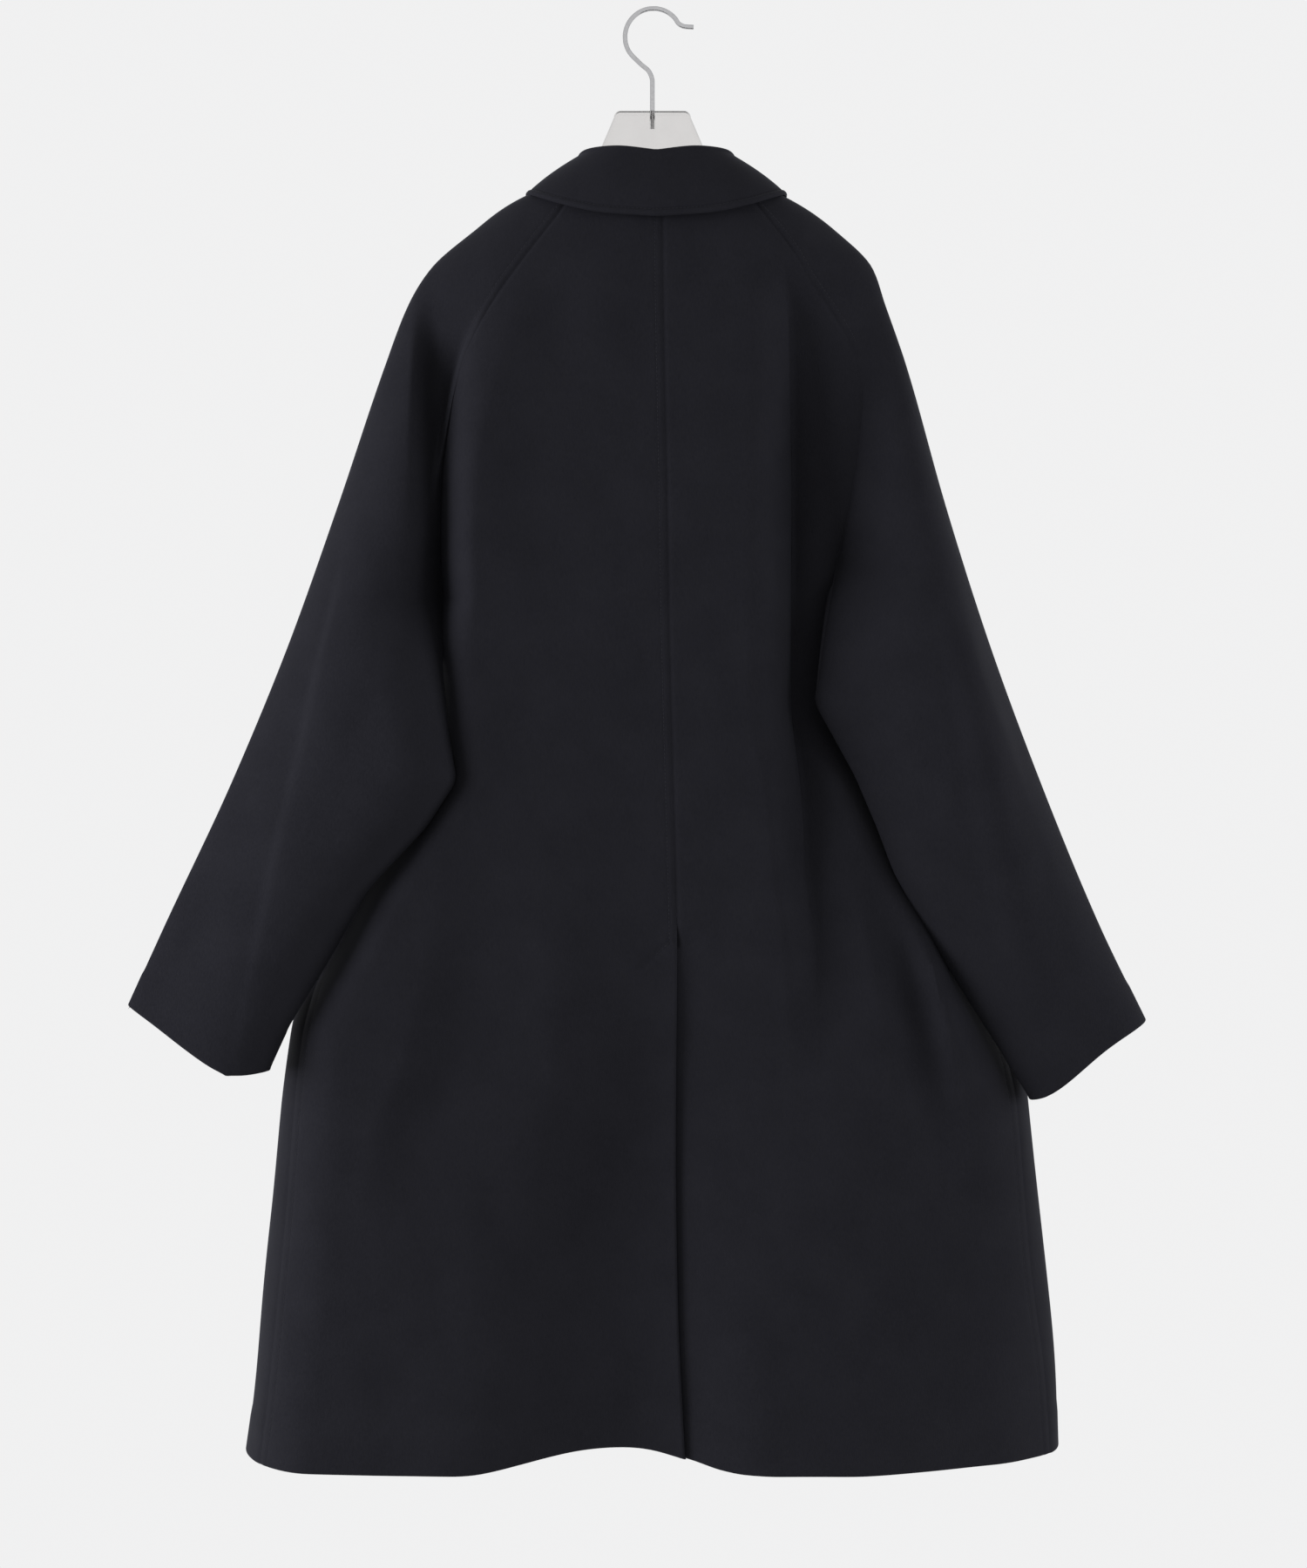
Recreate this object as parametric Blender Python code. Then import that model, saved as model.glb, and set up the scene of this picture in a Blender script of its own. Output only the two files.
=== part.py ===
"""Raglan balmacaan coat hung on a clear hanger with a steel wire hook.

Metres, +Z up. The origin is the inside of the hook's top, where the coat hangs. The coat's back
faces -Y and its front +Y, and its left is at -X. In the tables "across" is X, "depth" is Y and
"down" is the distance below the origin, so Z is -down. Every panel is given by its outer face,
and its wall goes inwards from there.
"""

import math
from collections import namedtuple

import bmesh
import bpy
import numpy as np

# Cloth, seams and laps
CLOTH = 0.0025
COLLAR_CLOTH = 0.0030
SEAM_GAP = 0.0003
LAP_GAP = 0.0007
VENT_LAP = 0.042
VENT_STEP = 0.0020
CREASE_STEP = 0.0030
CREASE_CLOSENESS = 1.3
FRONT_LAP = 0.035
LAP_DROP = 0.0030

# Heights, as distances down from the hook's seat
NAPE = 0.171
FRONT_NECK = 0.235
UNDERARM_LEVEL = 0.505
VENT_TOP = 0.819
VENT_SLANT = 0.016
HEM = 1.257
HEM_RISE = 0.0086
HEM_RISE_ACROSS = -0.030
HEM_RISE_WIDTH = 0.140

# Rows and columns of the lofted panels
RAGLAN_ROWS = 10
WAIST_ROWS = 7
SKIRT_ROWS = 9
ARM_ROWS = 12
BACK_COLUMNS = 13
WRAP_COLUMNS = 5
FRONT_COLUMNS = 7
SLEEVE_COLUMNS = 6

SIDES = ("left", "right")
SIGN = {"left": -1.0, "right": 1.0}

Centre = namedtuple("Centre", "down across back front squareness")
Spot = namedtuple("Spot", "across depth down")
Mark = namedtuple("Mark", "across down")
Tuck = namedtuple("Tuck", "down across depth pull width roundness")
Fold = namedtuple("Fold", "across down depth left_width right_width left_power right_power")
Tube = namedtuple("Tube", "share back front")
Roll = namedtuple("Roll", "angle across depth down edge_across edge_depth edge_down")

# Middle of the coat: the back seam's place, the depth of back and front, how square the section is
CENTRE = (
    Centre(0.150, 0.0070, -0.0620, 0.030, 2.2),
    Centre(0.171, 0.0072, -0.0645, 0.040, 2.2),
    Centre(0.250, 0.0080, -0.0700, 0.048, 2.4),
    Centre(0.400, 0.0108, -0.0780, 0.050, 2.7),
    Centre(0.550, 0.0133, -0.0850, 0.050, 3.0),
    Centre(0.700, 0.0172, -0.0900, 0.050, 3.5),
    Centre(0.820, 0.0200, -0.0940, 0.052, 4.0),
    Centre(1.000, 0.0192, -0.1000, 0.055, 4.0),
    Centre(1.130, 0.0209, -0.1120, 0.058, 4.0),
    Centre(1.257, 0.0271, -0.1270, 0.060, 4.0),
)

# Where the plain back and front stop following the shoulder line, and their half width at the hem
PLATE_SHOULDER_END = 0.560
PLATE_HEM_HALF = 0.380

# Outer line of each sleeve, from the neck over the shoulder to the cuff
OVERARM = {
    "left": (
        Spot(-0.0760, 0.000, 0.1560), Spot(-0.1163, 0.000, 0.1665), Spot(-0.1607, 0.000, 0.1971),
        Spot(-0.1955, -0.004, 0.2284), Spot(-0.2143, -0.008, 0.2596), Spot(-0.2343, -0.014, 0.3139),
        Spot(-0.2745, -0.022, 0.4364), Spot(-0.3167, -0.030, 0.5581), Spot(-0.3651, -0.040, 0.6790),
        Spot(-0.4198, -0.050, 0.7990), Spot(-0.4510, -0.056, 0.8697),
    ),
    "right": (
        Spot(0.0820, 0.000, 0.1560), Spot(0.1170, 0.000, 0.1665), Spot(0.1629, 0.000, 0.1971),
        Spot(0.1925, -0.004, 0.2284), Spot(0.2028, -0.008, 0.2596), Spot(0.2206, -0.014, 0.3139),
        Spot(0.2540, -0.022, 0.4364), Spot(0.2917, -0.030, 0.5581), Spot(0.3350, -0.040, 0.6790),
        Spot(0.3831, -0.050, 0.7990), Spot(0.4226, -0.056, 0.8824),
    ),
}

# Where the two raglan seams, the side seam and the sleeve's inner seam meet
UNDERARM = {"left": Spot(-0.1750, -0.022, 0.520), "right": Spot(0.1625, -0.022, 0.490)}

# At the underarm the walls of body and sleeve part: the outward direction of each on the right side
UNDERARM_OUT = {"body": (0.85, -0.40, 0.25), "sleeve": (-0.90, 0.20, -0.30)}
UNDERARM_PART = {"body": (-0.0006, 0.0005, 0.0), "sleeve": (0.0006, -0.0005, 0.0)}

# Inner line of each sleeve, from the underarm to the cuff
INNER_ARM = {
    "left": (
        UNDERARM["left"], Spot(-0.1710, -0.045, 0.585), Spot(-0.1685, -0.052, 0.675),
        Spot(-0.2020, -0.056, 0.724), Spot(-0.2464, -0.060, 0.769), Spot(-0.2720, -0.063, 0.821),
        Spot(-0.3130, -0.064, 0.889), Spot(-0.3297, -0.062, 0.925),
    ),
    "right": (
        UNDERARM["right"], Spot(0.1520, -0.045, 0.550), Spot(0.1408, -0.052, 0.608),
        Spot(0.1720, -0.057, 0.6715), Spot(0.1859, -0.060, 0.7186), Spot(0.2156, -0.062, 0.7954),
        Spot(0.2610, -0.063, 0.8505), Spot(0.3230, -0.062, 0.9498),
    ),
}

# Raglan seams from the neck to the underarm
RAGLAN_BACK = {
    "left": (
        Mark(-0.0700, 0.171), Mark(-0.0821, 0.189), Mark(-0.1119, 0.228), Mark(-0.1380, 0.265),
        Mark(-0.1529, 0.291), Mark(-0.1656, 0.321), Mark(-0.1755, 0.366), Mark(-0.1825, 0.422),
        Mark(-0.1815, 0.4825), Mark(-0.1750, 0.520),
    ),
    "right": (
        Mark(0.0806, 0.171), Mark(0.0955, 0.189), Mark(0.1194, 0.220), Mark(0.1380, 0.250),
        Mark(0.1567, 0.276), Mark(0.1730, 0.306), Mark(0.1820, 0.345), Mark(0.1815, 0.390),
        Mark(0.1740, 0.440), Mark(0.1625, 0.490),
    ),
}
RAGLAN_FRONT = {
    "left": (
        Mark(-0.0620, 0.190), Mark(-0.1000, 0.235), Mark(-0.1350, 0.285), Mark(-0.1600, 0.345),
        Mark(-0.1730, 0.420), Mark(-0.1750, 0.520),
    ),
    "right": (
        Mark(0.0660, 0.190), Mark(0.1030, 0.235), Mark(0.1350, 0.285), Mark(0.1560, 0.345),
        Mark(0.1630, 0.415), Mark(0.1625, 0.490),
    ),
}

# Side seams, and the outline of the coat's sides just outside them
SIDE_SEAM = {
    "left": (
        Mark(-0.1750, 0.520), Mark(-0.1900, 0.570), Mark(-0.2250, 0.650), Mark(-0.2620, 0.740),
        Mark(-0.2920, 0.840), Mark(-0.3060, 0.930), Mark(-0.3160, 1.058), Mark(-0.3285, 1.200),
        Mark(-0.3340, 1.257),
    ),
    "right": (
        Mark(0.1625, 0.490), Mark(0.1790, 0.545), Mark(0.2160, 0.630), Mark(0.2550, 0.730),
        Mark(0.2900, 0.840), Mark(0.3110, 0.940), Mark(0.3250, 1.095), Mark(0.3390, 1.200),
        Mark(0.3420, 1.257),
    ),
}
SIDE_EDGE = {
    "left": (
        Mark(-0.1750, 0.520), Mark(-0.1950, 0.570), Mark(-0.2360, 0.650), Mark(-0.2770, 0.740),
        Mark(-0.3080, 0.840), Mark(-0.3210, 0.930), Mark(-0.3335, 1.058), Mark(-0.3470, 1.200),
        Mark(-0.3545, 1.257),
    ),
    "right": (
        Mark(0.1625, 0.490), Mark(0.1840, 0.545), Mark(0.2270, 0.630), Mark(0.2700, 0.730),
        Mark(0.3060, 0.840), Mark(0.3260, 0.940), Mark(0.3420, 1.095), Mark(0.3520, 1.200),
        Mark(0.3535, 1.257),
    ),
}

# How far the back is drawn in: at the raglan seam, beside the hanging sleeve, round the sides
TUCK = {
    "left": (
        Tuck(0.270, -0.1400, -0.022, 0.00, 0.040, 0.0), Tuck(0.360, -0.1750, -0.022, 0.35, 0.040, 0.0),
        Tuck(0.440, -0.1825, -0.022, 0.70, 0.040, 0.0), Tuck(0.520, -0.1750, -0.022, 1.00, 0.040, 0.0),
        Tuck(0.560, -0.1765, -0.007, 1.00, 0.040, 0.0), Tuck(0.675, -0.1760, -0.005, 1.00, 0.045, 0.0),
        Tuck(0.724, -0.2080, -0.005, 1.00, 0.045, 0.0), Tuck(0.769, -0.2520, -0.006, 1.00, 0.045, 0.0),
        Tuck(0.889, -0.3160, -0.010, 1.00, 0.050, 0.6), Tuck(0.950, -0.3235, -0.012, 1.00, 0.060, 1.0),
        Tuck(1.100, -0.3375, -0.016, 1.00, 0.065, 1.0), Tuck(1.257, -0.3545, -0.020, 1.00, 0.065, 1.0),
    ),
    "right": (
        Tuck(0.300, 0.1705, -0.022, 0.00, 0.040, 0.0), Tuck(0.390, 0.1815, -0.022, 0.25, 0.040, 0.0),
        Tuck(0.440, 0.1740, -0.022, 0.60, 0.040, 0.0), Tuck(0.490, 0.1625, -0.022, 1.00, 0.040, 0.0),
        Tuck(0.530, 0.1610, -0.008, 1.00, 0.040, 0.0), Tuck(0.608, 0.1480, -0.006, 1.00, 0.045, 0.0),
        Tuck(0.672, 0.1780, -0.005, 1.00, 0.045, 0.0), Tuck(0.719, 0.1920, -0.005, 1.00, 0.045, 0.0),
        Tuck(0.795, 0.2220, -0.006, 1.00, 0.045, 0.0), Tuck(0.850, 0.2670, -0.008, 1.00, 0.050, 0.3),
        Tuck(0.950, 0.3260, -0.012, 1.00, 0.060, 1.0), Tuck(1.100, 0.3425, -0.015, 1.00, 0.065, 1.0),
        Tuck(1.257, 0.3535, -0.020, 1.00, 0.065, 1.0),
    ),
}
FRONT_TUCK_START = 0.300
FRONT_TUCK_WIDTH = 0.055

# Largest folds, each at its top, middle and bottom; a plus depth sinks into the panel
BACK_FOLDS = {
    "hem_trough": Fold((-0.037, -0.037, -0.025), (0.80, 1.05, 1.257), (0.0, 0.022, 0.072), 0.19, 0.10, 2, 4),
    "left_skirt": Fold((-0.183, -0.235, -0.216), (0.80, 0.985, 1.15), (0.0, 0.010, 0.0), 0.05, 0.05, 2, 2),
    "left_blade": Fold((-0.108, -0.145, -0.150), (0.25, 0.50, 0.66), (0.0, 0.006, 0.0), 0.03, 0.03, 2, 2),
    "right_blade": Fold((0.124, 0.130, 0.142), (0.21, 0.55, 0.95), (0.0, 0.040, 0.0), 0.055, 0.05, 2, 2),
    "right_skirt": Fold((0.185, 0.225, 0.262), (0.72, 0.84, 0.96), (0.0, 0.010, 0.0), 0.04, 0.04, 2, 2),
    "right_slope": Fold((0.330, 0.345, 0.360), (0.90, 1.08, 1.257), (0.0, 0.020, 0.045), 0.20, 0.20, 2, 2),
}
FRONT_FOLDS = {
    "left_skirt": Fold((-0.150, -0.175, -0.190), (0.70, 1.00, 1.257), (0.0, 0.008, 0.016), 0.07, 0.09, 2, 2),
    "right_skirt": Fold((0.120, 0.160, 0.200), (0.66, 0.98, 1.257), (0.0, 0.007, 0.014), 0.08, 0.07, 2, 2),
    "left_chest": Fold((-0.105, -0.125, -0.140), (0.30, 0.45, 0.66), (0.0, 0.006, 0.0), 0.035, 0.035, 2, 2),
    "right_chest": Fold((0.095, 0.115, 0.130), (0.30, 0.45, 0.64), (0.0, 0.007, 0.0), 0.035, 0.035, 2, 2),
}
SLEEVE_FOLDS = {
    "left_valley": Fold((-0.188, -0.190, -0.186), (0.28, 0.36, 0.46), (0.0, 0.012, 0.0), 0.03, 0.025, 2, 2),
    "left_ridge": Fold((-0.265, -0.305, -0.345), (0.50, 0.70, 0.90), (0.0, -0.006, -0.004), 0.05, 0.05, 2, 2),
    "right_ridge": Fold((0.230, 0.275, 0.335), (0.45, 0.68, 0.93), (0.0, -0.006, -0.004), 0.05, 0.05, 2, 2),
}

# How deep a sleeve stands out from its inner and outer lines, from the underarm to the cuff
SLEEVE_DEPTH = (
    Tube(0.00, 0.050, 0.004), Tube(0.15, 0.048, 0.006), Tube(0.40, 0.044, 0.016),
    Tube(0.70, 0.038, 0.026), Tube(1.00, 0.031, 0.029),
)
SLEEVE_ROUNDNESS = 2.3
SLEEVE_RISE_WIDTH = 0.040
SLEEVE_TUBE_START = {"back": 0.45, "front": 0.30}
SHOULDER_CLOSENESS = 1.25
CUFF_SAG = {"left": 0.016, "right": 0.0}
CUFF_SAG_SKEW = 0.65

# Collar: its roll and its free edge at angles from the back of the neck round to the front
COLLAR = (
    Roll(0, 0.000, -0.0600, 0.1355, 0.000, -0.0760, 0.1950),
    Roll(25, 0.030, -0.0570, 0.1315, 0.045, -0.0735, 0.1915),
    Roll(50, 0.052, -0.0440, 0.1300, 0.083, -0.0650, 0.1805),
    Roll(75, 0.063, -0.0200, 0.1285, 0.110, -0.0380, 0.1625),
    Roll(90, 0.066, 0.0000, 0.1300, 0.1145, 0.0000, 0.1605),
    Roll(105, 0.065, 0.0140, 0.1370, 0.1140, 0.0240, 0.1650),
    Roll(130, 0.052, 0.0340, 0.1600, 0.0920, 0.0570, 0.2050),
    Roll(155, 0.028, 0.0460, 0.1900, 0.0700, 0.0680, 0.2550),
    Roll(180, 0.003, 0.0510, 0.2130, 0.0450, 0.0720, 0.3000),
)
COLLAR_ACROSS = 0.0025
COLLAR_DEPTH = -0.0060
COLLAR_END = 0.0012
ROLL_GAP = 0.0015
ROLL_NECK = 0.0040
ROLL_STEPS = 4
LEAF_STEPS = 4
LEAF_BOW = 0.0040
STAND_STEPS = 2

# Hanger: a flat plate with arms under the shoulders, and a wire hook
HANGER_ACROSS = -0.0010
HANGER_THICK = 0.0080
HANGER_CHAMFER = 0.0010
HANGER_TOP = 0.0884
HANGER_TOP_HALF = 0.0337
HANGER_CORNER = 0.0060
HANGER_NECK = (Mark(0.0432, 0.1167), Mark(0.0530, 0.1410), Mark(0.0650, 0.1590))
ARM_START = 0.078
ARM_END = 0.165
ARM_CLEAR = 0.0007
ARM_DIP = 0.0025
ARM_DIP_START = 0.125
ARM_END_ROUND = 0.009
ARM_BELOW = (Mark(0.120, 0.2060), Mark(0.070, 0.1880), Mark(0.000, 0.1800))
WIRE = 0.0040
HOOK_RADIUS = 0.0250
HOOK_TAIL_ANGLE = 22.0
HOOK_BACK_ANGLE = 212.0
HOOK_TAIL = 0.0120
HOOK_NECK = (Mark(-0.0115, 0.0465), Mark(-0.0035, 0.0540))
HOOK_FOOT = 0.1040
BORE_CLEAR = 0.0003

# Colours, roughness and metallic value of each material
WOOL = {"name": "navy_wool", "colour": (0.0125, 0.0130, 0.0185), "roughness": 0.92, "metallic": 0.0}
ACRYLIC = {"name": "clear_acrylic", "colour": (0.85, 0.88, 0.88), "roughness": 0.08, "metallic": 0.0}
STEEL = {"name": "bright_steel", "colour": (0.62, 0.62, 0.63), "roughness": 0.22, "metallic": 1.0}


def smooth(keys, values, at):
    """Read a table between its rows along a smooth curve that never overshoots them."""
    keys = np.asarray(keys, float)
    values = np.asarray(values, float)
    step = np.diff(keys)
    slope = np.diff(values) / step
    lean = np.zeros_like(values)
    same = slope[:-1] * slope[1:] > 0.0
    total = np.where(same, slope[:-1] + slope[1:], 1.0)
    lean[1:-1] = np.where(same, 2.0 * slope[:-1] * slope[1:] / total, 0.0)
    lean[0], lean[-1] = slope[0], slope[-1]
    at = np.clip(np.asarray(at, float), keys[0], keys[-1])
    i = np.clip(np.searchsorted(keys, at, side="right") - 1, 0, len(step) - 1)
    t = (at - keys[i]) / step[i]
    ends = values[i] * (1.0 + 2.0 * t) * (1.0 - t) ** 2 + values[i + 1] * t * t * (3.0 - 2.0 * t)
    return ends + step[i] * t * (1.0 - t) * (lean[i] * (1.0 - t) - lean[i + 1] * t)


def column(table, name, at, key="down"):
    """One named column of a table, read at given keys."""
    return smooth([getattr(row, key) for row in table], [getattr(row, name) for row in table], at)


def ease(start, end, at):
    """Zero before start, one after end, and a soft step between them."""
    t = np.clip((np.asarray(at, float) - start) / (end - start), 0.0, 1.0)
    return t * t * (3.0 - 2.0 * t)


def mix(first, second, share):
    return first + (second - first) * share


def downs_along(line, shares, start, end):
    """Heights on a line at even shares of its length between two heights."""
    fine = np.linspace(start, end, 400)
    across = column(line, "across", fine)
    run = np.concatenate([[0.0], np.cumsum(np.hypot(np.diff(across), np.diff(fine)))])
    return np.interp(np.asarray(shares) * run[-1], run, fine)


def fold_depth(folds, across, down):
    """Summed depth of the folds of one table at points of a panel."""
    total = np.zeros(np.broadcast(across, down).shape)
    for fold in folds.values():
        off = across - smooth(fold.down, fold.across, down)
        width = np.where(off < 0.0, fold.left_width, fold.right_width)
        power = np.where(off < 0.0, fold.left_power, fold.right_power)
        bell = (1.0 - np.clip(np.abs(off) / width, 0.0, 1.0) ** power) ** 2
        total = total + smooth(fold.down, fold.depth, down) * bell
    return total


def plate(across, down, face):
    """Depth of the plain back or front, rounding off to the shoulder and sleeve lines."""
    middle = column(CENTRE, "across", down)
    deep = column(CENTRE, face, down)
    power = column(CENTRE, "squareness", down)
    shoulder = np.minimum(down, PLATE_SHOULDER_END)
    below = np.clip((down - PLATE_SHOULDER_END) / (HEM - PLATE_SHOULDER_END), 0.0, 1.0)
    side = np.where(across < middle, 0, 1)
    reach = np.zeros(np.broadcast(across, down).shape)
    limit_depth = np.zeros_like(reach)
    for index, name in enumerate(SIDES):
        limit = column(OVERARM[name], "across", shoulder)
        limit = mix(limit, SIGN[name] * PLATE_HEM_HALF, below)
        share = np.clip((across - middle) / (limit - middle), 0.0, 1.0)
        reach = np.where(side == index, share, reach)
        limit_depth = np.where(side == index, column(OVERARM[name], "depth", shoulder), limit_depth)
    return limit_depth + (deep - limit_depth) * (1.0 - reach ** power) ** (1.0 / power)


def tuck_share(side, across, down):
    """One where the back is fully drawn in, falling to zero over the tuck's width."""
    line = column(TUCK[side], "across", down)
    seam = column(RAGLAN_BACK[side], "across", down)
    line = np.where(down < UNDERARM[side].down, seam, line)
    inside = SIGN[side] * (line - across)
    rest = 1.0 - np.clip(inside / column(TUCK[side], "width", down), 0.0, 1.0)
    return mix(rest ** 2, 1.0 - np.sqrt(1.0 - rest ** 2), column(TUCK[side], "roundness", down))


def back_depth(across, down):
    """Depth of the back panels' outer face."""
    plain = plate(across, down, "back")
    depth = plain + fold_depth(BACK_FOLDS, across, down)
    for side in SIDES:
        share = tuck_share(side, across, down) * column(TUCK[side], "pull", down)
        depth = mix(depth, column(TUCK[side], "depth", down), share)
    return depth


def front_depth(across, down):
    """Depth of the front panels' outer face, away from their wrapped sides."""
    plain = plate(across, down, "front")
    depth = plain - fold_depth(FRONT_FOLDS, across, down)
    for side in SIDES:
        under = UNDERARM[side]
        inside = SIGN[side] * (column(RAGLAN_FRONT[side], "across", down) - across)
        share = (1.0 - np.clip(inside / FRONT_TUCK_WIDTH, 0.0, 1.0)) ** 2
        pull = ease(FRONT_TUCK_START, under.down, down) * (1.0 - ease(under.down, under.down + 0.03, down))
        depth = mix(depth, under.depth, share * pull)
    return depth


def hem_down(across):
    """The back's hem, which lifts a little over the trough beside the vent."""
    off = np.clip(np.abs(across - HEM_RISE_ACROSS) / HEM_RISE_WIDTH, 0.0, 1.0)
    return HEM - HEM_RISE * (1.0 - off ** 2) ** 2


def seat_hem(across, down):
    """Stretch heights below the vent's top so that the last row lies on the hem."""
    share = np.clip((down - VENT_TOP) / (HEM - VENT_TOP), 0.0, 1.0)
    return down + (hem_down(across) - HEM) * share


def row_heights(neck, middle):
    """Heights of a panel's rows at its middle line: raglan, waist, vent slant and skirt."""
    raglan = np.linspace(neck, middle, RAGLAN_ROWS + 1)
    waist = np.linspace(middle, VENT_TOP, WAIST_ROWS + 1)[1:]
    skirt = np.linspace(VENT_TOP + VENT_SLANT, HEM, SKIRT_ROWS + 1)
    return np.concatenate([raglan, waist, skirt])


def raglan_seam(side, face):
    """Points of a raglan seam, which the panel and the sleeve share."""
    table = {"back": RAGLAN_BACK, "front": RAGLAN_FRONT}[face][side]
    under = UNDERARM[side]
    down = downs_along(table, np.linspace(0.0, 1.0, RAGLAN_ROWS + 1), table[0].down, under.down)
    across = column(table, "across", down)
    depth = {"back": back_depth, "front": front_depth}[face](across, down)
    points = np.stack([across, depth, down], axis=-1)
    points[-1] = under
    return points


def side_seam(side):
    """Points of a side seam below the underarm, which back and front share."""
    down = row_heights(NAPE, UNDERARM[side].down)[RAGLAN_ROWS + 1:]
    across = column(SIDE_SEAM[side], "across", down)
    return np.stack([across, back_depth(across, down), down], axis=-1)


def back_panel(side):
    """Half of the back, from the raglan and side seams to the middle seam and the vent."""
    edge = np.concatenate([raglan_seam(side, "back"), side_seam(side)])
    middle_down = row_heights(NAPE, UNDERARM_LEVEL)
    middle = column(CENTRE, "across", middle_down)
    lap_depth = CLOTH + LAP_GAP
    rows = []
    for i, spot in enumerate(edge):
        width = abs(middle[i] - spot[0])
        if side == "left":
            lap = min(VENT_LAP, 2.0 * width / BACK_COLUMNS)
            inner = [middle[i] - lap, middle[i] - lap / 2.0, middle[i]]
        elif middle_down[i] > VENT_TOP + VENT_SLANT / 2.0:
            inner = [middle[i], middle[i] - VENT_LAP / 2.0, middle[i] - VENT_LAP]
        else:
            inner = [middle[i] + 2.0 * VENT_STEP, middle[i] + VENT_STEP, middle[i]]
        even = abs(inner[0] - spot[0]) / (BACK_COLUMNS - 2)
        close = mix(CREASE_STEP, even, ease(0.76, 0.92, spot[2]))
        wing = SIGN[side] * (spot[0] - column(TUCK[side], "across", spot[2])) if i > RAGLAN_ROWS else 0.0
        crease = spot[0] - SIGN[side] * max(wing, min(close, even))
        steps = np.linspace(0.0, 1.0, BACK_COLUMNS - 2) ** CREASE_CLOSENESS
        across = np.concatenate([[spot[0]], mix(crease, inner[0], steps), inner[1:]])
        share = np.clip((across - spot[0]) / (middle[i] - spot[0]), 0.0, 1.0)
        down = seat_hem(across, mix(spot[2], middle_down[i], share))
        depth = back_depth(across, down)
        if side == "right":
            close = 1.0 - ease(VENT_STEP * 3.0, VENT_STEP * 15.0, across - middle[i])
            slope = (back_depth(across + VENT_STEP, down) - back_depth(across - VENT_STEP, down)) / 2.0
            square = np.hypot(1.0, slope / VENT_STEP)
            depth = depth + lap_depth * square * close * ease(VENT_TOP - 0.08, VENT_TOP - 0.01, down)
        row = np.stack([across, depth, down], axis=-1)
        row[0] = spot
        rows.append(row)
    return np.array(rows)


def side_wrap(side, spot, down, start_across, start_depth):
    """Section of the front round the coat's side, from the side seam to the flat of the front."""
    sign = SIGN[side]
    outline = column(SIDE_EDGE[side], "across", down)
    seam_inset = abs(outline - spot[0])
    front_inset = abs(outline - start_across)
    below = ease(UNDERARM[side].down, UNDERARM[side].down + 0.16, down)
    reach = outline + sign * (0.22 * seam_inset + 0.12 * front_inset * below)
    slope = (back_depth(spot[0], down) - back_depth(spot[0] - sign * 0.004, down)) / 0.004
    lean = np.clip(slope, 0.0, 1.4) * abs(reach - spot[0])
    posts = np.array([
        (spot[0], spot[1]), (reach, spot[1] + lean), (reach, start_depth), (start_across, start_depth),
    ])
    t = np.linspace(0.0, 1.0, WRAP_COLUMNS + 1)[:, None]
    return (posts[0] * (1 - t) ** 3 + posts[1] * 3 * t * (1 - t) ** 2
            + posts[2] * 3 * t * t * (1 - t) + posts[3] * t ** 3)


def front_panel(side):
    """Half of the front, from the raglan and side seams to its lapped edge."""
    sign = SIGN[side]
    edge = np.concatenate([raglan_seam(side, "front"), side_seam(side)])
    middle_down = row_heights(FRONT_NECK, UNDERARM_LEVEL)
    lap = np.array([sign * FRONT_LAP, 0.0, -sign * FRONT_LAP])
    rows = []
    for i, spot in enumerate(edge):
        wrapped = i > RAGLAN_ROWS
        outline = column(SIDE_EDGE[side], "across", spot[2]) if wrapped else spot[0]
        zone = min(FRONT_TUCK_WIDTH, 0.5 * (abs(outline) - FRONT_LAP))
        flat_start = outline - sign * zone
        flat = np.concatenate([np.linspace(flat_start, lap[0], FRONT_COLUMNS - 1), lap[1:]])
        near = np.linspace(spot[0], flat_start, WRAP_COLUMNS + 1)
        across = np.concatenate([near[:-1], flat])
        share = np.clip((across - spot[0]) / (0.0 - spot[0]), 0.0, 1.0)
        down = mix(spot[2], middle_down[i], share)
        down = down + LAP_DROP * ease(0.0, FRONT_LAP, -sign * across)
        depth = front_depth(across, down)
        if wrapped:
            wrap = side_wrap(side, spot, spot[2], flat_start, depth[WRAP_COLUMNS])
            across[:WRAP_COLUMNS] = wrap[:-1, 0]
            depth[:WRAP_COLUMNS] = wrap[:-1, 1]
        if side == "left":
            depth = depth + (CLOTH + LAP_GAP) * ease(-3.0 * FRONT_LAP, -1.15 * FRONT_LAP, across)
        row = np.stack([across, depth, down], axis=-1)
        row[0] = spot
        rows.append(row)
    return np.array(rows)


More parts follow.
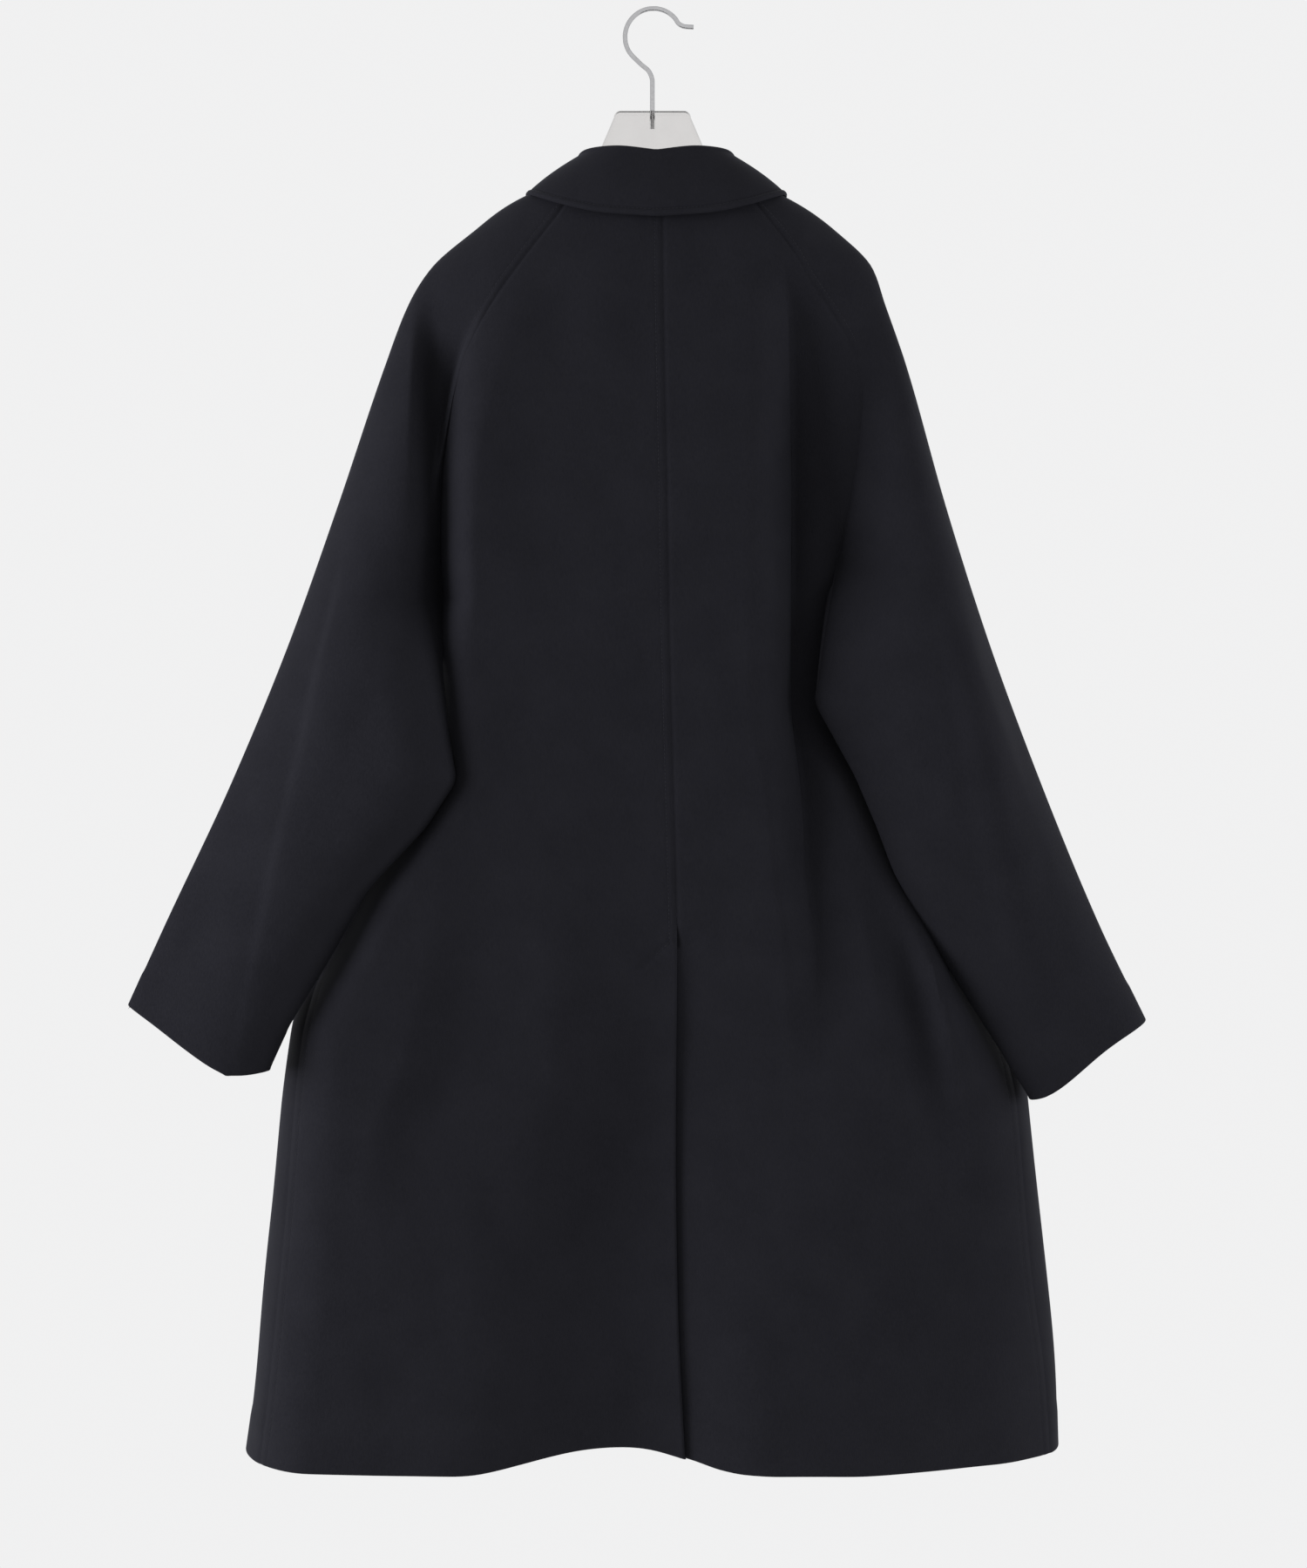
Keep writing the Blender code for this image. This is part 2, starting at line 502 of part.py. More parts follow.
def sleeve_piece(side, face):
    """Back or front piece of a sleeve, from the raglan and inner seams to the overarm seam."""
    sign = {"back": -1.0, "front": 1.0}[face]
    under = UNDERARM[side]
    shares = np.linspace(0.0, 1.0, ARM_ROWS + 1)[1:]
    inner_down = downs_along(INNER_ARM[side], shares, under.down, INNER_ARM[side][-1].down)
    inner = np.stack([column(INNER_ARM[side], name, inner_down) for name in ("across", "depth")]
                     + [inner_down], axis=-1)
    seam = np.concatenate([raglan_seam(side, face), inner])
    outer_down = np.concatenate([
        downs_along(OVERARM[side], np.linspace(0.0, 1.0, RAGLAN_ROWS + 1) ** SHOULDER_CLOSENESS,
                    OVERARM[side][0].down, under.down),
        downs_along(OVERARM[side], shares, under.down, OVERARM[side][-1].down),
    ])
    u = np.linspace(0.0, 1.0, SLEEVE_COLUMNS + 1)
    rows = []
    for i, spot in enumerate(seam):
        raglan = min(i / RAGLAN_ROWS, 1.0)
        arm = max(i - RAGLAN_ROWS, 0) / ARM_ROWS
        tube = ease(SLEEVE_TUBE_START[face], 1.0, raglan)
        xi = mix(np.sin(u * math.pi / 2.0), (1.0 - np.cos(u * math.pi)) / 2.0, tube)
        outer = np.array([column(OVERARM[side], name, outer_down[i]) for name in ("across", "depth")])
        across = mix(spot[0], outer[0], xi)
        down = mix(spot[2], outer_down[i], xi)
        sag = np.sin(math.pi * xi ** CUFF_SAG_SKEW) * CUFF_SAG[side] * arm ** 4
        swell = np.sqrt(1.0 - np.abs(2.0 * xi - 1.0) ** SLEEVE_ROUNDNESS)
        round_depth = mix(spot[1], outer[1], xi) + sign * swell * column(SLEEVE_DEPTH, face, arm, "share")
        flat_depth = plate(across, down, face)
        rise = (1.0 - np.clip(np.abs(across - spot[0]) / SLEEVE_RISE_WIDTH, 0.0, 1.0)) ** 2 * (1.0 - xi)
        flat_depth = flat_depth + (spot[1] - flat_depth[0]) * rise
        depth = mix(flat_depth, round_depth, tube)
        if face == "back":
            depth = depth + fold_depth(SLEEVE_FOLDS, across, down) * np.sin(math.pi * xi)
        row = np.stack([across, depth, down + sag], axis=-1)
        row[0] = spot
        row[-1] = (outer[0], outer[1], outer_down[i])
        rows.append(row)
    return np.array(rows)


class Wall:
    """A cloth panel's outer points in rows and columns, with its thickness and outward side."""

    def __init__(self, points, outward, seams, thickness=CLOTH):
        self.points = points * np.array([1.0, 1.0, -1.0])
        self.thickness = thickness
        self.seams = seams
        along_rows = np.gradient(self.points, axis=0)
        along_columns = np.gradient(self.points, axis=1)
        normals = np.cross(along_rows, along_columns)
        normals /= np.linalg.norm(normals, axis=2, keepdims=True)
        self.flip = np.mean(normals @ np.array(outward)) < 0.0
        self.normals = -normals if self.flip else normals

    def edge(self, name):
        """Index of an edge's points, and of the points next to it inside."""
        every = slice(None)
        return {
            "top": ((0, every), (1, every)), "bottom": ((-1, every), (-2, every)),
            "first": ((every, 0), (every, 1)), "last": ((every, -1), (every, -2)),
        }[name]

    def open_seams(self):
        """Draw the sewn edges back by half the seam's gap, square to the seam and in the cloth."""
        moved = self.points.copy()
        for name in self.seams:
            at, inside = self.edge(name)
            along = np.gradient(self.points[at], axis=0)
            along /= np.linalg.norm(along, axis=1, keepdims=True)
            away = self.points[inside] - self.points[at]
            for axis in (along, self.normals[at]):
                away = away - axis * np.sum(away * axis, axis=1, keepdims=True)
            away /= np.linalg.norm(away, axis=1, keepdims=True)
            moved[at] += away * SEAM_GAP * 0.55
        self.points = moved


def share_normals(walls):
    """Give pieces that meet at a seam the same wall direction there, so that their rims are parallel."""
    meeting = {}
    for wall in walls:
        for name in wall.seams:
            at, _ = wall.edge(name)
            for point, normal in zip(wall.points[at], wall.normals[at]):
                key = tuple(np.round(point, 5))
                meeting[key] = meeting.get(key, 0.0) + normal
    for wall in walls:
        for name in wall.seams:
            at, _ = wall.edge(name)
            shared = np.array([meeting[tuple(np.round(point, 5))] for point in wall.points[at]])
            wall.normals[at] = shared / np.linalg.norm(shared, axis=1, keepdims=True)


def material(look):
    """A Principled material with one look's colour, roughness and metallic value."""
    made = bpy.data.materials.new(look["name"])
    made.use_nodes = True
    shader = made.node_tree.nodes["Principled BSDF"]
    shader.inputs["Base Color"].default_value = (*look["colour"], 1.0)
    shader.inputs["Roughness"].default_value = look["roughness"]
    shader.inputs["Metallic"].default_value = look["metallic"]
    made.diffuse_color = (*look["colour"], 1.0)
    return made


def place(name, data, collection, look):
    """Add an object to a collection with its material."""
    made = bpy.data.objects.new(name, data)
    collection.objects.link(made)
    data.materials.append(look)
    return made


def loft_wall(name, outer, inner, collection, look, ring=False):
    """A closed wall between two faces with the same rows and columns."""
    rows, columns = outer.shape[:2]
    spans = columns if ring else columns - 1
    vertices = np.concatenate([outer.reshape(-1, 3), inner.reshape(-1, 3)])
    back = rows * columns

    def at(row, col):
        return row * columns + col % columns

    faces = []
    for row in range(rows - 1):
        for col in range(spans):
            quad = (at(row, col), at(row + 1, col), at(row + 1, col + 1), at(row, col + 1))
            faces.append(quad)
            faces.append(tuple(back + k for k in reversed(quad)))
    for col in range(spans):
        faces.append((at(0, col), at(0, col + 1), back + at(0, col + 1), back + at(0, col)))
        faces.append((at(rows - 1, col + 1), at(rows - 1, col),
                      back + at(rows - 1, col), back + at(rows - 1, col + 1)))
    if not ring:
        for row in range(rows - 1):
            faces.append((at(row + 1, 0), at(row, 0), back + at(row, 0), back + at(row + 1, 0)))
            faces.append((at(row, columns - 1), at(row + 1, columns - 1),
                          back + at(row + 1, columns - 1), back + at(row, columns - 1)))
    mesh = bpy.data.meshes.new(name)
    mesh.from_pydata([tuple(v) for v in vertices], [], faces)
    shape = bmesh.new()
    shape.from_mesh(mesh)
    bmesh.ops.recalc_face_normals(shape, faces=shape.faces)
    shape.to_mesh(mesh)
    shape.free()
    mesh.shade_smooth()
    mesh.set_sharp_from_angle(angle=math.radians(50))
    return place(name, mesh, collection, look)


def neck_stations(panels):
    """Points of the neckline from the left front edge round the back to the right front edge."""
    left_front = panels["front_left"][0, WRAP_COLUMNS + FRONT_COLUMNS - 1::-1]
    right_front = panels["front_right"][0, WRAP_COLUMNS + FRONT_COLUMNS - 1::-1][::-1]
    rest = []
    for side in SIDES:
        sleeve_front = panels["sleeve_front_" + side][0]
        sleeve_back = panels["sleeve_back_" + side][0][::-1]
        back = panels["back_" + side][0]
        run = np.concatenate([sleeve_front[1:], sleeve_back[1:], back[1:]])
        rest.append(run if side == "left" else run[::-1][1:])
    stations = np.concatenate([left_front, rest[0], rest[1], right_front])
    for end, inside in ((0, 1), (-1, -2)):
        run = stations[inside] - stations[end]
        stations[end] += run * (COLLAR_END / np.linalg.norm(run))
    return stations


def collar_sections(panels):
    """Outer and inner faces of the stand and of the fall, one column for each neckline point."""
    neck = neck_stations(panels)
    middle = COLLAR_ACROSS * (1.0 - ease(COLLAR_DEPTH, neck[0, 1], neck[:, 1]))
    angle = np.degrees(np.arctan2(neck[:, 0] - middle, COLLAR_DEPTH - neck[:, 1]))
    read = {name: column(COLLAR, name, np.abs(angle), "angle") for name in Roll._fields[1:]}
    side = np.sign(angle)
    roll = np.stack([middle + side * read["across"], read["depth"], read["down"]], axis=-1)
    free = np.stack([middle + side * read["edge_across"], read["edge_depth"], read["edge_down"]], axis=-1)
    along = np.gradient(roll, axis=0)
    out = np.stack([-along[:, 1], along[:, 0], np.zeros(len(roll))], axis=-1)
    out *= np.sign(np.sum(out * (roll - (COLLAR_ACROSS, COLLAR_DEPTH, 0.0)), axis=1, keepdims=True))
    out /= np.linalg.norm(out, axis=1, keepdims=True)
    up = np.array([0.0, 0.0, -1.0])
    radius = COLLAR_CLOTH + ROLL_GAP / 2.0
    stand_top = roll - up * (radius + ROLL_NECK)
    stand_base = neck + up * SEAM_GAP
    stand_share = np.linspace(0.0, 1.0, STAND_STEPS + 1)[:, None, None]
    stand_outer = mix(stand_base[None], stand_top[None], stand_share)
    stand_inner = stand_outer - out * COLLAR_CLOTH

    seam = stand_top + up * SEAM_GAP
    bend = seam + up * ROLL_NECK + out * (ROLL_GAP / 2.0)
    turn = np.linspace(math.pi, 0.0, ROLL_STEPS + 1)[:, None, None]
    roll_outer = bend + radius * (np.cos(turn) * out + np.sin(turn) * up)
    roll_inner = bend + (ROLL_GAP / 2.0) * (np.cos(turn) * out + np.sin(turn) * up)
    start = roll_outer[-1]
    bow = mix(start, free, 0.5) + LEAF_BOW * (out + up)
    t = np.linspace(0.0, 1.0, LEAF_STEPS + 1)[1:, None, None]
    leaf = start * (1 - t) ** 2 + bow * 2 * t * (1 - t) + free * t * t
    slope = 2 * (1 - t) * (bow - start) + 2 * t * (free - bow)
    around = np.gradient(leaf, axis=1)
    square = np.cross(slope, around)
    square /= np.linalg.norm(square, axis=2, keepdims=True)
    square *= np.sign(np.sum(square * (out + up), axis=2, keepdims=True))
    leaf_inner = leaf - square * COLLAR_CLOTH
    fall_outer = np.concatenate([(seam - out * COLLAR_CLOTH)[None], roll_outer, leaf])
    fall_inner = np.concatenate([seam[None], roll_inner, leaf_inner])
    flip = np.array([1.0, 1.0, -1.0])
    return stand_outer * flip, stand_inner * flip, fall_outer * flip, fall_inner * flip


def hanger_outline(side, wall):
    """Half of the hanger's outline, from its top plate along the arm and back to its middle."""
    inside = wall.points[:, -1] - wall.normals[:, -1] * (wall.thickness + ARM_CLEAR)
    inside = [Mark(SIGN[side] * (x - HANGER_ACROSS), -z) for x, _, z in inside]
    half = [Mark(HANGER_TOP_HALF - HANGER_CORNER, HANGER_TOP)]
    for turn in (30.0, 60.0, 90.0):
        half.append(Mark(HANGER_TOP_HALF - HANGER_CORNER * (1.0 - math.sin(math.radians(turn))),
                         HANGER_TOP + HANGER_CORNER * (1.0 - math.cos(math.radians(turn)))))
    half.extend(HANGER_NECK)
    line = [mark.across for mark in inside], [mark.down for mark in inside]
    for across in [mark.across for mark in inside if ARM_START < mark.across < ARM_END] + [ARM_END]:
        dip = ARM_DIP * max(0.0, (across - ARM_DIP_START) / (ARM_END - ARM_DIP_START)) ** 2
        half.append(Mark(across, np.interp(across, *line) + dip))
    tip = half[-1]
    slope = math.atan2(tip.down - half[-2].down, tip.across - half[-2].across)
    for turn in (30.0, 75.0, 120.0, 165.0):
        angle = math.radians(turn) + slope - math.pi / 2.0
        half.append(Mark(tip.across + ARM_END_ROUND * (math.cos(angle) + math.sin(slope) * -1.0),
                         tip.down + ARM_END_ROUND * (math.sin(angle) + math.cos(slope))))
    half.extend(ARM_BELOW)
    return half


def curve_data(name, points, closed):
    """A curve of straight runs through points."""
    data = bpy.data.curves.new(name, "CURVE")
    spline = data.splines.new("POLY")
    spline.points.add(len(points) - 1)
    for point, place_at in zip(spline.points, points):
        point.co = (*place_at, 1.0)
    spline.use_cyclic_u = closed
    return data


def hanger_body(walls, collection, cutters, look):
    """The clear hanger: a flat outline with its thickness, bored for the hook's shank."""
    halves = {side: hanger_outline(side, walls["sleeve_back_" + side]) for side in SIDES}
    ring = [(mark.across, -mark.down, 0.0) for mark in halves["right"]]
    ring += [(-mark.across, -mark.down, 0.0) for mark in reversed(halves["left"][:-1])]
    data = curve_data("hanger_outline", ring, True)
    data.dimensions = "2D"
    data.fill_mode = "BOTH"
    data.extrude = HANGER_THICK / 2.0 - HANGER_CHAMFER
    data.bevel_depth = HANGER_CHAMFER
    data.bevel_resolution = 0
    data.offset = -HANGER_CHAMFER
    outline = bpy.data.objects.new("hanger_outline", data)
    collection.objects.link(outline)
    outline.rotation_euler = (math.pi / 2.0, 0.0, 0.0)
    outline.location = (HANGER_ACROSS, 0.0, 0.0)
    bpy.context.view_layer.update()
    solid = bpy.data.meshes.new_from_object(outline.evaluated_get(bpy.context.evaluated_depsgraph_get()))
    shape = bmesh.new()
    shape.from_mesh(solid)
    bmesh.ops.remove_doubles(shape, verts=shape.verts, dist=0.00001)
    shape.to_mesh(solid)
    shape.free()
    body = place("hanger_body", solid, collection, look)
    body.matrix_world = outline.matrix_world
    bpy.data.objects.remove(outline)

    depth = HOOK_FOOT - HANGER_TOP + BORE_CLEAR
    drill = bmesh.new()
    bmesh.ops.create_cone(drill, cap_ends=True, segments=16, radius1=WIRE / 2.0 + BORE_CLEAR,
                          radius2=WIRE / 2.0 + BORE_CLEAR, depth=2.0 * depth)
    mesh = bpy.data.meshes.new("hook_bore")
    drill.to_mesh(mesh)
    drill.free()
    cutter = bpy.data.objects.new("hook_bore", mesh)
    cutters.objects.link(cutter)
    cutter.location = (HANGER_ACROSS, 0.0, -HANGER_TOP)
    cutter.hide_render = True
    cutter.display_type = "WIRE"
    bore = body.modifiers.new("hook_bore", "BOOLEAN")
    bore.operation = "DIFFERENCE"
    bore.solver = "EXACT"
    bore.object = cutter
    return body


def hanger_hook(collection, look):
    """The wire hook: a tail, a round bend over the seat, a neck and a straight shank."""
    middle_down = HOOK_RADIUS - WIRE / 2.0
    points = []
    start = math.radians(HOOK_TAIL_ANGLE)
    mouth = (HOOK_RADIUS * math.cos(start), middle_down - HOOK_RADIUS * math.sin(start))
    points.append((mouth[0] + HOOK_TAIL, mouth[1] + 0.0008))
    points.append((mouth[0] + HOOK_TAIL * 0.35, mouth[1] + 0.0002))
    for degrees in np.linspace(HOOK_TAIL_ANGLE + 6.0, HOOK_BACK_ANGLE, 17):
        angle = math.radians(degrees)
        points.append((HOOK_RADIUS * math.cos(angle), middle_down - HOOK_RADIUS * math.sin(angle)))
    points.extend((mark.across, mark.down) for mark in HOOK_NECK)
    points.append((HANGER_ACROSS, HOOK_NECK[-1].down + 0.008))
    points.append((HANGER_ACROSS, HOOK_FOOT))
    data = curve_data("hanger_hook", [(across, 0.0, -down) for across, down in points], False)
    data.dimensions = "3D"
    data.bevel_depth = WIRE / 2.0
    data.bevel_resolution = 2
    data.use_fill_caps = True
    return place("hanger_hook", data, collection, look)


def build():
    for old in list(bpy.data.objects):
        bpy.data.objects.remove(old)
    coat = bpy.data.collections.new("Balmacaan coat")
    cutters = bpy.data.collections.new("Cutters")
    for collection in (coat, cutters):
        bpy.context.scene.collection.children.link(collection)
    wool, acrylic, steel = material(WOOL), material(ACRYLIC), material(STEEL)

    panels = {}
    walls = {}
    for side in SIDES:
        panels["back_" + side] = back_panel(side)
        panels["front_" + side] = front_panel(side)
        for face in ("back", "front"):
            panels["sleeve_" + face + "_" + side] = sleeve_piece(side, face)
    for name, points in panels.items():
        outward = (0.0, 1.0, 0.0) if "front" in name else (0.0, -1.0, 0.0)
        seams = ("top", "first") if name.startswith("front") else ("top", "first", "last")
        walls[name] = Wall(points, outward, seams)
    share_normals(walls.values())
    for name, wall in walls.items():
        side = name.split("_")[-1]
        family = "sleeve" if name.startswith("sleeve") else "body"
        away = np.array(UNDERARM_OUT[family]) * (SIGN[side], 1.0, 1.0)
        wall.normals[RAGLAN_ROWS, 0] = away / np.linalg.norm(away)
        wall.open_seams()
        wall.points[RAGLAN_ROWS, 0] += np.array(UNDERARM_PART[family]) * (SIGN[side], 1.0, 1.0)
        loft_wall(name, wall.points, wall.points - wall.normals * wall.thickness, coat, wool)

    stand_outer, stand_inner, fall_outer, fall_inner = collar_sections(panels)
    loft_wall("collar_stand", stand_outer, stand_inner, coat, wool)
    loft_wall("collar_fall", fall_outer, fall_inner, coat, wool)
    hanger_body(walls, coat, cutters, acrylic)
    hanger_hook(coat, steel)


build()
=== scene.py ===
import bpy
import math
import numpy as np
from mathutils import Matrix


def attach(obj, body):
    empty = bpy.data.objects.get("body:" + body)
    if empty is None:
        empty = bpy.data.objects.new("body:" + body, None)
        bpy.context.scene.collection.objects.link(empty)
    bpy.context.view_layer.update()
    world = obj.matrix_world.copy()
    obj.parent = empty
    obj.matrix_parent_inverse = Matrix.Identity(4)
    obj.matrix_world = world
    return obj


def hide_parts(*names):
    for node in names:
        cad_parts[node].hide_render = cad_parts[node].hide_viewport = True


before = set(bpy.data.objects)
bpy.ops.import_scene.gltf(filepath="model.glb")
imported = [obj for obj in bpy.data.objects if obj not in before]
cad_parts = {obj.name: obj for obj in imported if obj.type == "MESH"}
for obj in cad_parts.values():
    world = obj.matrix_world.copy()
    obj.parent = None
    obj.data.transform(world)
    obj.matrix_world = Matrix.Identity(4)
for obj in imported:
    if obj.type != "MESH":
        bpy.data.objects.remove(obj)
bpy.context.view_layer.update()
print("frame loaded")

# lengths in metres; across is X, depth is Y, down is the distance under the hook's seat
sides = ("left", "right")
sign = {"left": -1.0, "right": 1.0}
cloth = {"wall": 0.0024, "lapGap": 0.0007, "drift": 0.0006}
level = {"nape": 0.171, "frontNeck": 0.235, "underarm": 0.505, "ventTop": 0.819, "ventSlant": 0.016, "hem": 1.257}

# down, middle seam across, back depth, front depth, squareness
centre = [
    (0.15, 0.007, -0.062, 0.03, 2.2), (0.171, 0.0072, -0.0645, 0.04, 2.2), (0.25, 0.008, -0.07, 0.048, 2.4),
    (0.4, 0.0108, -0.078, 0.05, 2.7), (0.55, 0.0133, -0.085, 0.05, 3), (0.7, 0.0172, -0.09, 0.05, 3.5),
    (0.82, 0.02, -0.094, 0.052, 4), (1, 0.0192, -0.1, 0.055, 4), (1.13, 0.0209, -0.112, 0.058, 4),
    (1.257, 0.0271, -0.127, 0.06, 4)]
# down, across on the left and on the right, depth
armRows = [
    (0.156, -0.076, 0.082, 0), (0.1665, -0.1163, 0.117, 0), (0.1971, -0.1607, 0.1629, 0),
    (0.2284, -0.1955, 0.1925, -0.004), (0.2596, -0.2143, 0.2028, -0.008), (0.3139, -0.2343, 0.2206, -0.014),
    (0.4364, -0.2745, 0.254, -0.022), (0.5581, -0.3167, 0.2917, -0.03), (0.679, -0.3651, 0.335, -0.04),
    (0.799, -0.4198, 0.3831, -0.05)]
# down, across, depth
overarm = {"left": [(down, left, depth) for down, left, right, depth in armRows] + [(0.8697, -0.451, -0.056)],
           "right": [(down, right, depth) for down, left, right, depth in armRows] + [(0.8824, 0.4226, -0.056)]}
underarm = {"left": (0.52, -0.183, -0.022), "right": (0.49, 0.1585, -0.022)}
innerArm = {
    "left": [
        underarm["left"], (0.585, -0.18, -0.059), (0.635, -0.1745, -0.069), (0.676, -0.1672, -0.073),
        (0.716, -0.193, -0.073), (0.769, -0.243, -0.069), (0.821, -0.272, -0.063), (0.889, -0.313, -0.064),
        (0.925, -0.3297, -0.062)],
    "right": [
        underarm["right"], (0.53, 0.15, -0.042), (0.609, 0.138, -0.052), (0.6715, 0.1722, -0.057),
        (0.7164, 0.1912, -0.06), (0.7538, 0.205, -0.061), (0.7957, 0.2275, -0.062), (0.8286, 0.247, -0.063),
        (0.866, 0.27, -0.063), (0.9498, 0.3235, -0.062)]}
# down, across
raglan = {
    "back": {
        "left": [
            (0.171, -0.07), (0.189, -0.0821), (0.228, -0.1119), (0.265, -0.138), (0.291, -0.1529), (0.321, -0.1656),
            (0.366, -0.1755), (0.422, -0.183), (0.4825, -0.185), (0.52, -0.183)],
        "right": [
            (0.171, 0.0806), (0.189, 0.0955), (0.22, 0.1194), (0.25, 0.138), (0.276, 0.1567), (0.306, 0.173),
            (0.345, 0.1805), (0.39, 0.177), (0.44, 0.169), (0.49, 0.1585)]},
    "front": {
        "left": [
            (0.19, -0.062), (0.235, -0.1), (0.285, -0.135), (0.345, -0.16), (0.42, -0.173), (0.52, -0.183)],
        "right": [
            (0.19, 0.066), (0.235, 0.103), (0.285, 0.135), (0.345, 0.156), (0.415, 0.16), (0.49, 0.1585)]}}
# down, seam across, outline across
sideLine = {
    "left": [
        (0.52, -0.183, -0.183), (0.57, -0.194, -0.199), (0.65, -0.225, -0.236), (0.74, -0.262, -0.277),
        (0.84, -0.292, -0.308), (0.93, -0.306, -0.321), (1.058, -0.316, -0.3335), (1.2, -0.3285, -0.347),
        (1.257, -0.334, -0.3545)],
    "right": [
        (0.49, 0.1585, 0.1585), (0.545, 0.177, 0.182), (0.63, 0.216, 0.227), (0.73, 0.255, 0.27), (0.84, 0.29, 0.306),
        (0.94, 0.311, 0.326), (1.095, 0.325, 0.342), (1.2, 0.339, 0.352), (1.257, 0.342, 0.3535)]}
# down, across, depth, pull, width, roundness: how the back is drawn in beside the sleeves and round the sides
tuck = {
    "left": [
        (0.25, -0.128, -0.022, 0, 0.04, 0), (0.31, -0.16, -0.022, 0.2, 0.038, 0),
        (0.36, -0.175, -0.022, 0.42, 0.036, 0), (0.44, -0.184, -0.022, 0.68, 0.034, 0),
        (0.52, -0.183, -0.022, 1, 0.034, 0), (0.56, -0.194, -0.018, 1, 0.04, 0), (0.635, -0.198, -0.019, 1, 0.05, 0),
        (0.676, -0.194, -0.02, 1, 0.052, 0), (0.716, -0.215, -0.02, 1, 0.046, 0),
        (0.769, -0.252, -0.018, 1, 0.046, 0), (0.821, -0.277, -0.014, 1, 0.044, 0.1),
        (0.889, -0.315, -0.011, 1, 0.046, 0.6), (0.95, -0.3235, -0.012, 1, 0.06, 1),
        (1.1, -0.3375, -0.016, 1, 0.065, 1), (1.257, -0.3545, -0.02, 1, 0.065, 1)],
    "right": [
        (0.3, 0.1705, -0.022, 0, 0.04, 0), (0.39, 0.1815, -0.022, 0.05, 0.04, 0), (0.44, 0.174, -0.022, 0.3, 0.04, 0),
        (0.49, 0.1585, -0.022, 1, 0.04, 0), (0.53, 0.156, -0.016, 1, 0.04, 0), (0.609, 0.145, -0.018, 1, 0.045, 0),
        (0.672, 0.185, -0.02, 1, 0.042, 0), (0.754, 0.221, -0.019, 1, 0.036, 0),
        (0.829, 0.262, -0.016, 1, 0.038, 0.2), (0.866, 0.283, -0.014, 1, 0.042, 0.3),
        (0.95, 0.326, -0.012, 1, 0.06, 1), (1.1, 0.3425, -0.015, 1, 0.065, 1), (1.257, 0.3535, -0.02, 1, 0.065, 1)]}
tuckSoft = (0.44, 0.5)  # above these heights the right side is drawn in more softly

# folds: across, down and depth from top to bottom, then the width left and right; plus sinks in
backFolds = {
    "hemTrough": ((-0.022, -0.034, -0.025), (0.8, 1.05, 1.257), (0, 0.02, 0.042), (0.13, 0.13)),
    "leftSkirt": ((-0.128, -0.14, -0.155, -0.166, -0.183, -0.205), (0.72, 0.79, 0.865, 0.915, 0.958, 1.06),
                  (0, 0.007, 0.012, 0.014, 0.011, 0), (0.05, 0.085)),
    "ventSweep": ((-0.0135, -0.0135, -0.015, -0.005, -0.0186, -0.029, -0.043),
                  (0.7, 0.79, 0.863, 0.93, 1.002, 1.07, 1.16),
                  (0, 0.008, 0.013, 0.023, 0.022, 0.014, 0), (0.085, 0.2)),
    "leftBlade": ((-0.142, -0.157, -0.166, -0.176), (0.25, 0.343, 0.409, 0.56), (0, -0.011, -0.013, 0),
                  (0.022, 0.075)),
    "rightSkirt": ((0.18, 0.222, 0.25), (0.7, 0.86, 1.02), (0, 0.016, 0), (0.034, 0.024)),
    "rightSlope": ((0.33, 0.345, 0.36), (0.9, 1.08, 1.257), (0, 0.02, 0.045), (0.2, 0.2)),
}
frontFolds = {
    "leftSkirt": ((-0.15, -0.175, -0.19), (0.7, 1, 1.257), (0, 0.008, 0.016), (0.07, 0.09)),
    "rightSkirt": ((0.12, 0.16, 0.2), (0.66, 0.98, 1.257), (0, 0.007, 0.014), (0.08, 0.07)),
    "leftChest": ((-0.105, -0.125, -0.14), (0.3, 0.45, 0.66), (0, 0.006, 0), (0.035, 0.035)),
    "rightChest": ((0.095, 0.115, 0.13), (0.3, 0.45, 0.64), (0, 0.007, 0), (0.035, 0.035)),
}
sleeveFolds = {
    "leftValley": ((-0.186, -0.1865, -0.186, -0.187), (0.225, 0.27, 0.33, 0.46),
                   (0, 0.008, 0.023, 0), (0.024, 0.06)),
    "leftRidge": ((-0.259, -0.277, -0.2963, -0.3185, -0.348), (0.47, 0.56, 0.65, 0.752, 0.886),
                  (0, -0.0045, -0.0045, -0.003, -0.0008), (0.01, 0.05)),
    "rightRamp": ((0.255, 0.272, 0.287, 0.302, 0.33), (0.48, 0.59, 0.68, 0.768, 0.886),
                  (0, -0.01, -0.012, -0.009, -0.002), (0.115, 0.075)),
    "rightRidge": ((0.255, 0.272, 0.287, 0.302, 0.33), (0.5, 0.59, 0.68, 0.768, 0.886),
                   (0, -0.0075, -0.0078, -0.0055, -0.0012), (0.028, 0.036)),
}
# valley beside the right sleeve: down, edge across, depth, flank; the back rolls over its left edge
valley = [
    (0.225, 0.111, 0, 0.034), (0.254, 0.115, 0.012, 0.036), (0.306, 0.1178, 0.033, 0.038), (0.38, 0.1192, 0.05, 0.04),
    (0.455, 0.1195, 0.058, 0.042), (0.604, 0.1195, 0.058, 0.042), (0.679, 0.1262, 0.042, 0.034),
    (0.754, 0.1305, 0.028, 0.03), (0.828, 0.1395, 0.018, 0.03), (0.96, 0.146, 0, 0.034)]
valleyForm = {"roll": 0.965, "rollShare": 0.75, "rolls": (0.34, 0.5), "softens": (0.6, 0.76),
              "floorFrom": 0.004, "floorRun": 0.096, "floorRise": 0.8, "tail": (0.06, 0.12), "tailRise": 0.2}
